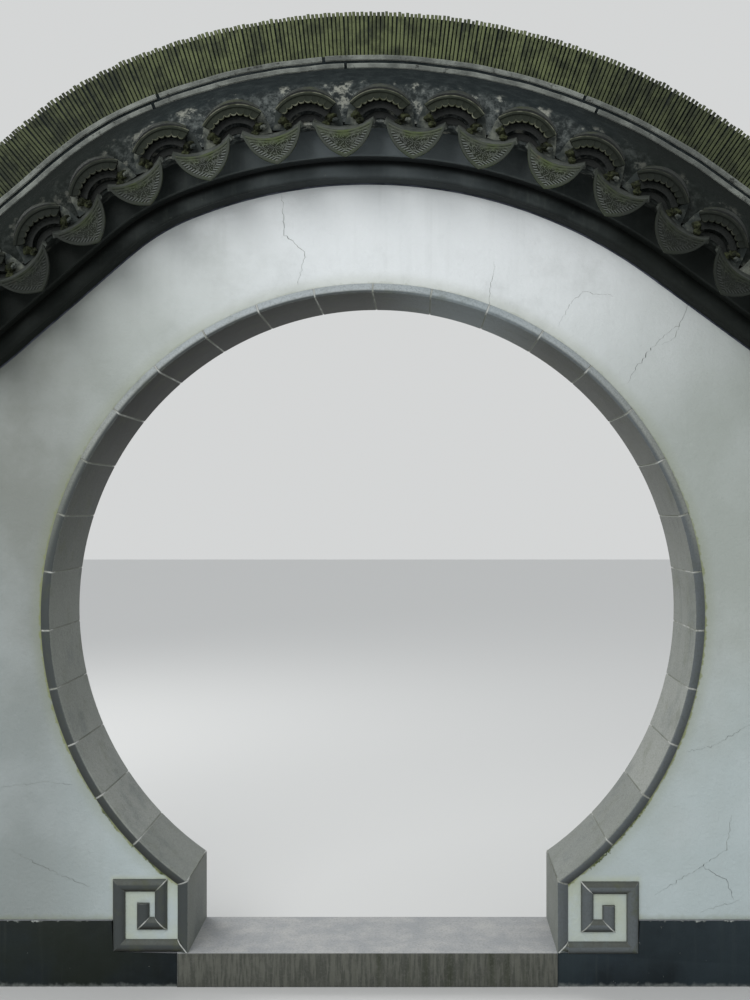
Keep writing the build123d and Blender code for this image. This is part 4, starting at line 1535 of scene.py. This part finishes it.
mossy_shaded_mortar_colours = ((0.010, 0.012, 0.008, 1), (0.055, 0.062, 0.030, 1))
dab_colours = ((0.030, 0.036, 0.034, 1), (0.15, 0.16, 0.135, 1))

mossy_shaded_mortar, shader, where = new_material("mossy mortar", shine=0.15)
lumps = clouds(where, 40.0, 6.0, 0.7)
# Painted shade: this mortar is painted near black for the hollows under the covers, with mossy patches.
lump_tone = mix_colours(ramp(lumps, 0.35, 0.70), *mossy_shaded_mortar_colours)
paint(shader, lump_tone, ramp(lumps, -0.9, 0.7), roughen(lumps, 0.006))

dab_mortar, shader, where = new_material("dab mortar", shine=0.15)
tone = stored(where, "tone")
lumps = clouds(where, 34.0, 6.0, 0.7)
patches = clouds(where, 11.0, 5.0, 0.65)
whiteness = ramp(scaled(tone, 0.25, plus(lumps, patches)), 1.0, 1.45)
dab_tone = mix_colours(whiteness, *dab_colours)
paint(shader, dab_tone, ramp(lumps, -0.9, 0.7), roughen(lumps, 0.005))


def mortar_lumps(bm, face, places, seed):
    """Lumps of mortar: place across the row, height, size, and distance back from the eave."""
    chance = Random(seed)
    for x, height, size, setback in places:
        ball = bmesh.ops.create_icosphere(bm, subdivisions=3, radius=1.0)
        shape = Vector((chance.random(), chance.random(), chance.random())) * 40
        for vert in ball["verts"]:
            coarse, fine = noise.noise(vert.co * 1.3 + shape), noise.noise(vert.co * 4.0 + shape)
            swell = 1 + lump_roughness * (coarse + 0.5 * fine)
            vert.co = Vector((x + vert.co.x * size * swell,
                              face * (eave_reach - setback) + vert.co.y * size * swell,
                              height + vert.co.z * size * lump_flatness * swell))


def mortar_bank(bm, face, side, seed):
    """Mortar smeared along the edge of a row of covers, sloping down into the pan."""
    shape = Vector((seed, 0, 0))
    rings = []
    for length in range(bank_lengths + 1):
        setback = bank_reaches[0] + (bank_reaches[1] - bank_reaches[0]) * length / bank_lengths
        ring = []
        for x, height in bank_section:
            spot = Vector((side * x, setback, height)) * bank_ripple + shape
            ring.append((side * x + bank_sway * noise.noise(spot), face * (eave_reach - setback),
                         height + setback * roof_fall + bank_swell * noise.noise(spot * 1.3 + shape)))
        rings.append(ring)
    skin_over(bm, rings)


for face_name, face in both_faces:
    bm = bmesh.new()
    half = rib_width / 2
    rings = []
    for reach in (eave_reach - rib_setback, roof_top_half_width):
        climb = (eave_reach - reach) * roof_fall
        foot = pan_channel_height + pan_dip - rib_sink + climb
        top = cover_top_height - tile_thickness - rib_clearance + climb
        rings.append([(-half, face * reach, foot), (half, face * reach, foot), (half, face * reach, top),
                      (-half, face * reach, top)])
    skin_over(bm, rings)
    mortar_lumps(bm, face, lump_places, 8)
    lay_rows(f"cover_mortar_{face_name}", bm, 0, mossy_shaded_mortar, "bedding_mortar",
             f"cover_bedding_{face_name}", seed=31)
    bm = bmesh.new()
    mortar_lumps(bm, face, dab_places, 9)
    mortar_bank(bm, face, -1, 11)
    mortar_bank(bm, face, 1, 23)
    lay_rows(f"mortar_dabs_{face_name}", bm, 0, dab_mortar, "bedding_mortar", seed=41, wobble=0.04)


# The mortar at the ridge's foot
# The upper ends of the covers are buried in a bank of mortar under the ridge. It is painted
# black where the ridge overhangs it, as the ridge's shadow, and lighter and blotched with lime
# lower down, where it fills the pans.

haunch_section = [(0.302, 0.150), (0.298, 0.185), (0.292, 0.240), (0.285, 0.268), (0.274, 0.288),
                  (0.250, 0.308), (0.180, 0.352), (0.1195, 0.3872)]
haunch_shaded_colours = ((0.010, 0.014, 0.015, 1), (0.024, 0.030, 0.030, 1))
haunch_lime_colour = (0.24, 0.245, 0.21, 1)
haunch_lit_colours = ((0.018, 0.022, 0.022, 1), (0.100, 0.112, 0.108, 1))

haunch_mortar, shader, where = new_material("haunch mortar", shine=0.08)
section_height = stored(where, "height")
lumps = clouds(where, 26.0, 6.0, 0.7)
haunch_tone = mix_colours(ramp(lumps, 0.40, 0.75), *haunch_shaded_colours)
low = scaled(clouds(where, 14.0, 4.0), 0.060, section_height)
lit_tone = mix_colours(ramp(clouds(where, 38.0, 6.0, 0.75), 0.4, 0.68), *haunch_lit_colours)
# Painted shade: black high up under the ridge, painted lighter lower down where light falls.
haunch_tone = mix_colours(ramp(low, 0.325, 0.285), haunch_tone, lit_tone)
limed = times(ramp(low, 0.335, 0.305), ramp(clouds(where, 19.0, 6.0, 0.7), 0.55, 0.66))
haunch_tone = mix_colours(times(limed, 0.85), haunch_tone, haunch_lime_colour)
# Painted shade of the trees towards the sides.
haunch_tone = shade_by_trees(where, haunch_tone, 0.8)
haunch_tone = bare_ends(lumps, haunch_tone)
paint(shader, haunch_tone, ramp(lumps, -0.9, 0.7), roughen(lumps, 0.008))

ridge_haunch = course("ridge_haunch", haunch_section, haunch_mortar, unevenness=0.008)
finish_piece(ridge_haunch, haunch_mortar, "bedding_mortar")


# The ridge's base
# Two strips of thin tile bedded in mortar, one over the other, with a groove between. They
# come in lengths that never quite line up.

strip_height = 0.018
strip_groove = 0.011
strip_reach = 0.122
groove_reach = 0.108
top_strip_reach = 0.116
strip_lengths = (0.42, 0.75)
last_strip_length = 0.9
strip_slips = (-0.003, 0.002)
strip_setback = 0.002
strip_rounding = 0.003
strip_gap = 0.0008
ridge_tiles_foot = ridge_base_height + 2 * strip_height + strip_groove

strip_colours = ((0.092, 0.100, 0.092, 1), (0.20, 0.215, 0.195, 1))
strip_soot_colour = (0.030, 0.033, 0.030, 1)
worn_strip_colour = (0.28, 0.29, 0.25, 1)

strip_mortar, shader, where = new_material("strip mortar", shine=0.2)
patchy = clouds(where, 11.0, 7.0, 0.7)
skin = mix_colours(ramp(patchy, 0.38, 0.68), *strip_colours)
moss = times(mossed(where, 0.04, 0.06, 0.3), 0.6)
skin = mix_colours(moss, skin, tile_moss_colour)
skin = mix_colours(ramp(clouds(where, 26.0, 6.0, 0.75), 0.56, 0.66), skin, strip_soot_colour)
skin = rub_corners(where, skin, worn_strip_colour, 0.005, 0.7)
paint(shader, skin, ramp(patchy, -0.9, 0.6), roughen(clouds(where, 60.0, 6.0, 0.7), 0.004))

groove_core = course("ridge_groove",
                     [(groove_reach, ridge_base_height + 0.002),
                      (groove_reach, ridge_tiles_foot - 0.001)], bed_mortar, unevenness=0.003)
finish_piece(groove_core, bed_mortar, "ridge_mortar")


def line_length(points):
    return sum(hypot(next_x - x, next_z - z) for (x, z), (next_x, next_z) in zip(points, points[1:]))


chance = Random(17)
whole_length = line_length(wall_top_line(0))
strips = []
for reach, foot in ((strip_reach, ridge_base_height),
                    (top_strip_reach, ridge_base_height + strip_height + strip_groove)):
    stops = [0.0]
    while stops[-1] < whole_length - last_strip_length:
        stops.append(stops[-1] + chance.uniform(*strip_lengths))
    stops.append(whole_length)
    for start, end in zip(stops, stops[1:]):
        edge = reach - strip_setback + chance.uniform(*strip_slips)
        top = foot + strip_height
        section = [(edge - strip_rounding, foot), (edge, foot + strip_rounding),
                   (edge, top - strip_rounding), (edge - strip_rounding, top)]
        strips.append(course("strip", section, strip_mortar, start + strip_gap, end - strip_gap,
                             unevenness=0.008))

bm = bmesh.new()
for strip in strips:
    bm.from_mesh(strip.data)
discard(*strips)
keep_piece("ridge_strips", bm, strip_mortar, "ridge_mortar", "ridge_base_left", "ridge_base_crown",
           "ridge_base_right")


# The ridge of upright tiles
# Grey clay tiles stand on edge, packed side by side across the wall, with mortar between.
# Their tops have slipped a little up and down, and moss grows along them.

ridge_half_thickness = 0.084
ridge_tiles_height = 0.157
ridge_tile_pitch = 0.01275
ridge_tile_thickness = 0.0102
ridge_tile_rounding = 0.0015
ridge_colours = ((0.023, 0.029, 0.015, 1), (0.100, 0.118, 0.052, 1))

ridge_clay = make_clay_material("ridge clay", ridge_colours, moss_amount=0.10, lime_amount=0.0)

# Upright tiles: copies packed along the line, each shrunk and leaning a little at random
upright_tiles, given, result = new_geometry_tree(
    "upright tiles along the wall top", {"Tile": thing, "Count": whole, "Pitch": real, "Slip": real,
                                         "Thinnest": real, "Tilt": real, "Seed": whole,
                                         "Material": finish})
tree = upright_tiles
place = add_node(tree, "GeometryNodeInputIndex").outputs[0]
along = scaled(place, given["Pitch"], times(given["Pitch"], 0.5))
spots, turned = spots_along(tree, given, along, given["Tilt"])
shrink = minus(1.0, given["Slip"])
size = link_node("FunctionNodeRandomValue", {"Seed": plus(given["Seed"], 1.0), 1: (1.0, 1.0, 1.0)},
                 data_type="FLOAT_VECTOR")
low_size = add_step("ShaderNodeCombineXYZ", {0: given["Thinnest"], 1: shrink, 2: shrink})
tree.links.new(low_size, size.inputs[0])
tile = link_node("GeometryNodeObjectInfo", {"Object": given["Tile"]}).outputs["Geometry"]
tiles = add_step("GeometryNodeInstanceOnPoints",
                 {"Points": spots, "Instance": tile, "Rotation": turned, "Scale": size.outputs[0]})
tone_copies(tree, tiles, given, result)

ridge_core = course("ridge_core", [
    (ridge_half_thickness - 0.009, ridge_tiles_foot - 0.002),
    (ridge_half_thickness - 0.009, ridge_tiles_foot + ridge_tiles_height - 0.016),
    (ridge_half_thickness - 0.018, ridge_tiles_foot + ridge_tiles_height - 0.009)], bed_mortar,
    ridge_tile_pitch, whole_length - ridge_tile_pitch, unevenness=0.003)
finish_piece(ridge_core, bed_mortar, "ridge_tile")

bm = bmesh.new()
tile_half = ridge_tile_thickness / 2
slab(bm, [(-tile_half, 0), (tile_half, 0), (tile_half, ridge_tiles_height),
          (-tile_half, ridge_tiles_height)], -ridge_half_thickness, ridge_half_thickness,
     ridge_tile_rounding, segments=1, round_back=True)
upright = new_piece("upright tile", bm)
middle_line = line_length(wall_top_line(ridge_tiles_foot + ridge_tiles_height / 2))
foot_line = line_length(wall_top_line(ridge_tiles_foot))
tile_count = int(middle_line / ridge_tile_pitch)
ridge_row = grow("ridge_row", upright_tiles, path_mesh(ridge_tiles_foot), {
    "Tile": upright, "Count": tile_count, "Pitch": foot_line / tile_count, "Slip": 0.035,
    "Thinnest": 0.84, "Tilt": 0.010, "Seed": 5, "Material": ridge_clay})
discard(upright)
finish_piece(ridge_row, ridge_clay, "ridge_tile", "ridge_tiles_left", "ridge_tiles_crown",
             "ridge_tiles_right")


# The floor, the lights and the camera
# A plain pale floor and backdrop lie under a soft sky, brightest overhead, with a broad lamp
# at the left on each side of the wall. The camera stands in front of the doorway, a little
# right of its middle, at a person's eye height.

floor_size = 30.0
floor_colour = (0.52, 0.52, 0.51, 1)
backdrop_colour = (0.66, 0.67, 0.67, 1)
sky_colours = ((0.55, 0.56, 0.56, 1), (1.0, 1.03, 1.06, 1))

mesh = bpy.data.meshes.new("studio floor")
mesh.from_pydata([(-floor_size, -floor_size, 0), (floor_size, -floor_size, 0), (floor_size, floor_size, 0),
                  (-floor_size, floor_size, 0)], [], [(0, 1, 2, 3)])
floor = bpy.data.objects.new("studio_floor", mesh)
bpy.context.scene.collection.objects.link(floor)
floor_material = bpy.data.materials.new("studio floor")
floor_material.use_nodes = True
floor_material.node_tree.nodes["Principled BSDF"].inputs["Base Color"].default_value = floor_colour
floor_material.node_tree.nodes["Principled BSDF"].inputs["Roughness"].default_value = 0.9
floor.data.materials.append(floor_material)

world = bpy.data.worlds.new("studio sky")
bpy.context.scene.world = world
world.use_nodes = True
tree = world.node_tree
background = tree.nodes["Background"]
up = parts(add_node(tree, "ShaderNodeTexCoord").outputs["Generated"])[2]
sky_tone = mix_colours(ramp(up, -0.1, 0.9), *sky_colours)
seen = add_node(tree, "ShaderNodeLightPath").outputs
seen = larger(seen["Is Camera Ray"], larger(seen["Is Glossy Ray"], seen["Is Transmission Ray"]))
tree.links.new(mix_colours(seen, sky_tone, backdrop_colour), background.inputs["Color"])

lamps = (
    ("front left", (-2.6, -5.4, 5.2), 4.0, 245),
    ("back left", (-4.0, 4.0, 5.5), 4.0, 215),
)
for lamp_name, place, size, power in lamps:
    lamp = bpy.data.lights.new(lamp_name, "AREA")
    lamp.shape = "DISK"
    lamp.size = size
    lamp.energy = power
    lamp_object = bpy.data.objects.new(lamp_name, lamp)
    lamp_object.location = place
    aim = Vector((0, 0, 1.3)) - Vector(place)
    lamp_object.rotation_euler = aim.to_track_quat("-Z", "Y").to_euler()
    bpy.context.scene.collection.objects.link(lamp_object)

camera_data = bpy.data.cameras.new("camera")
camera_data.sensor_fit = "VERTICAL"
camera_data.sensor_height = 36
camera_data.lens = 41.0
camera_data.shift_x = -0.046
camera_data.shift_y = 0.007
camera = bpy.data.objects.new("camera", camera_data)
camera.location = (0.157, -3.865, 1.561)
camera.rotation_euler = (radians(90), 0, 0)
bpy.context.scene.collection.objects.link(camera)
bpy.context.scene.camera = camera
bpy.context.scene.view_settings.view_transform = "Standard"
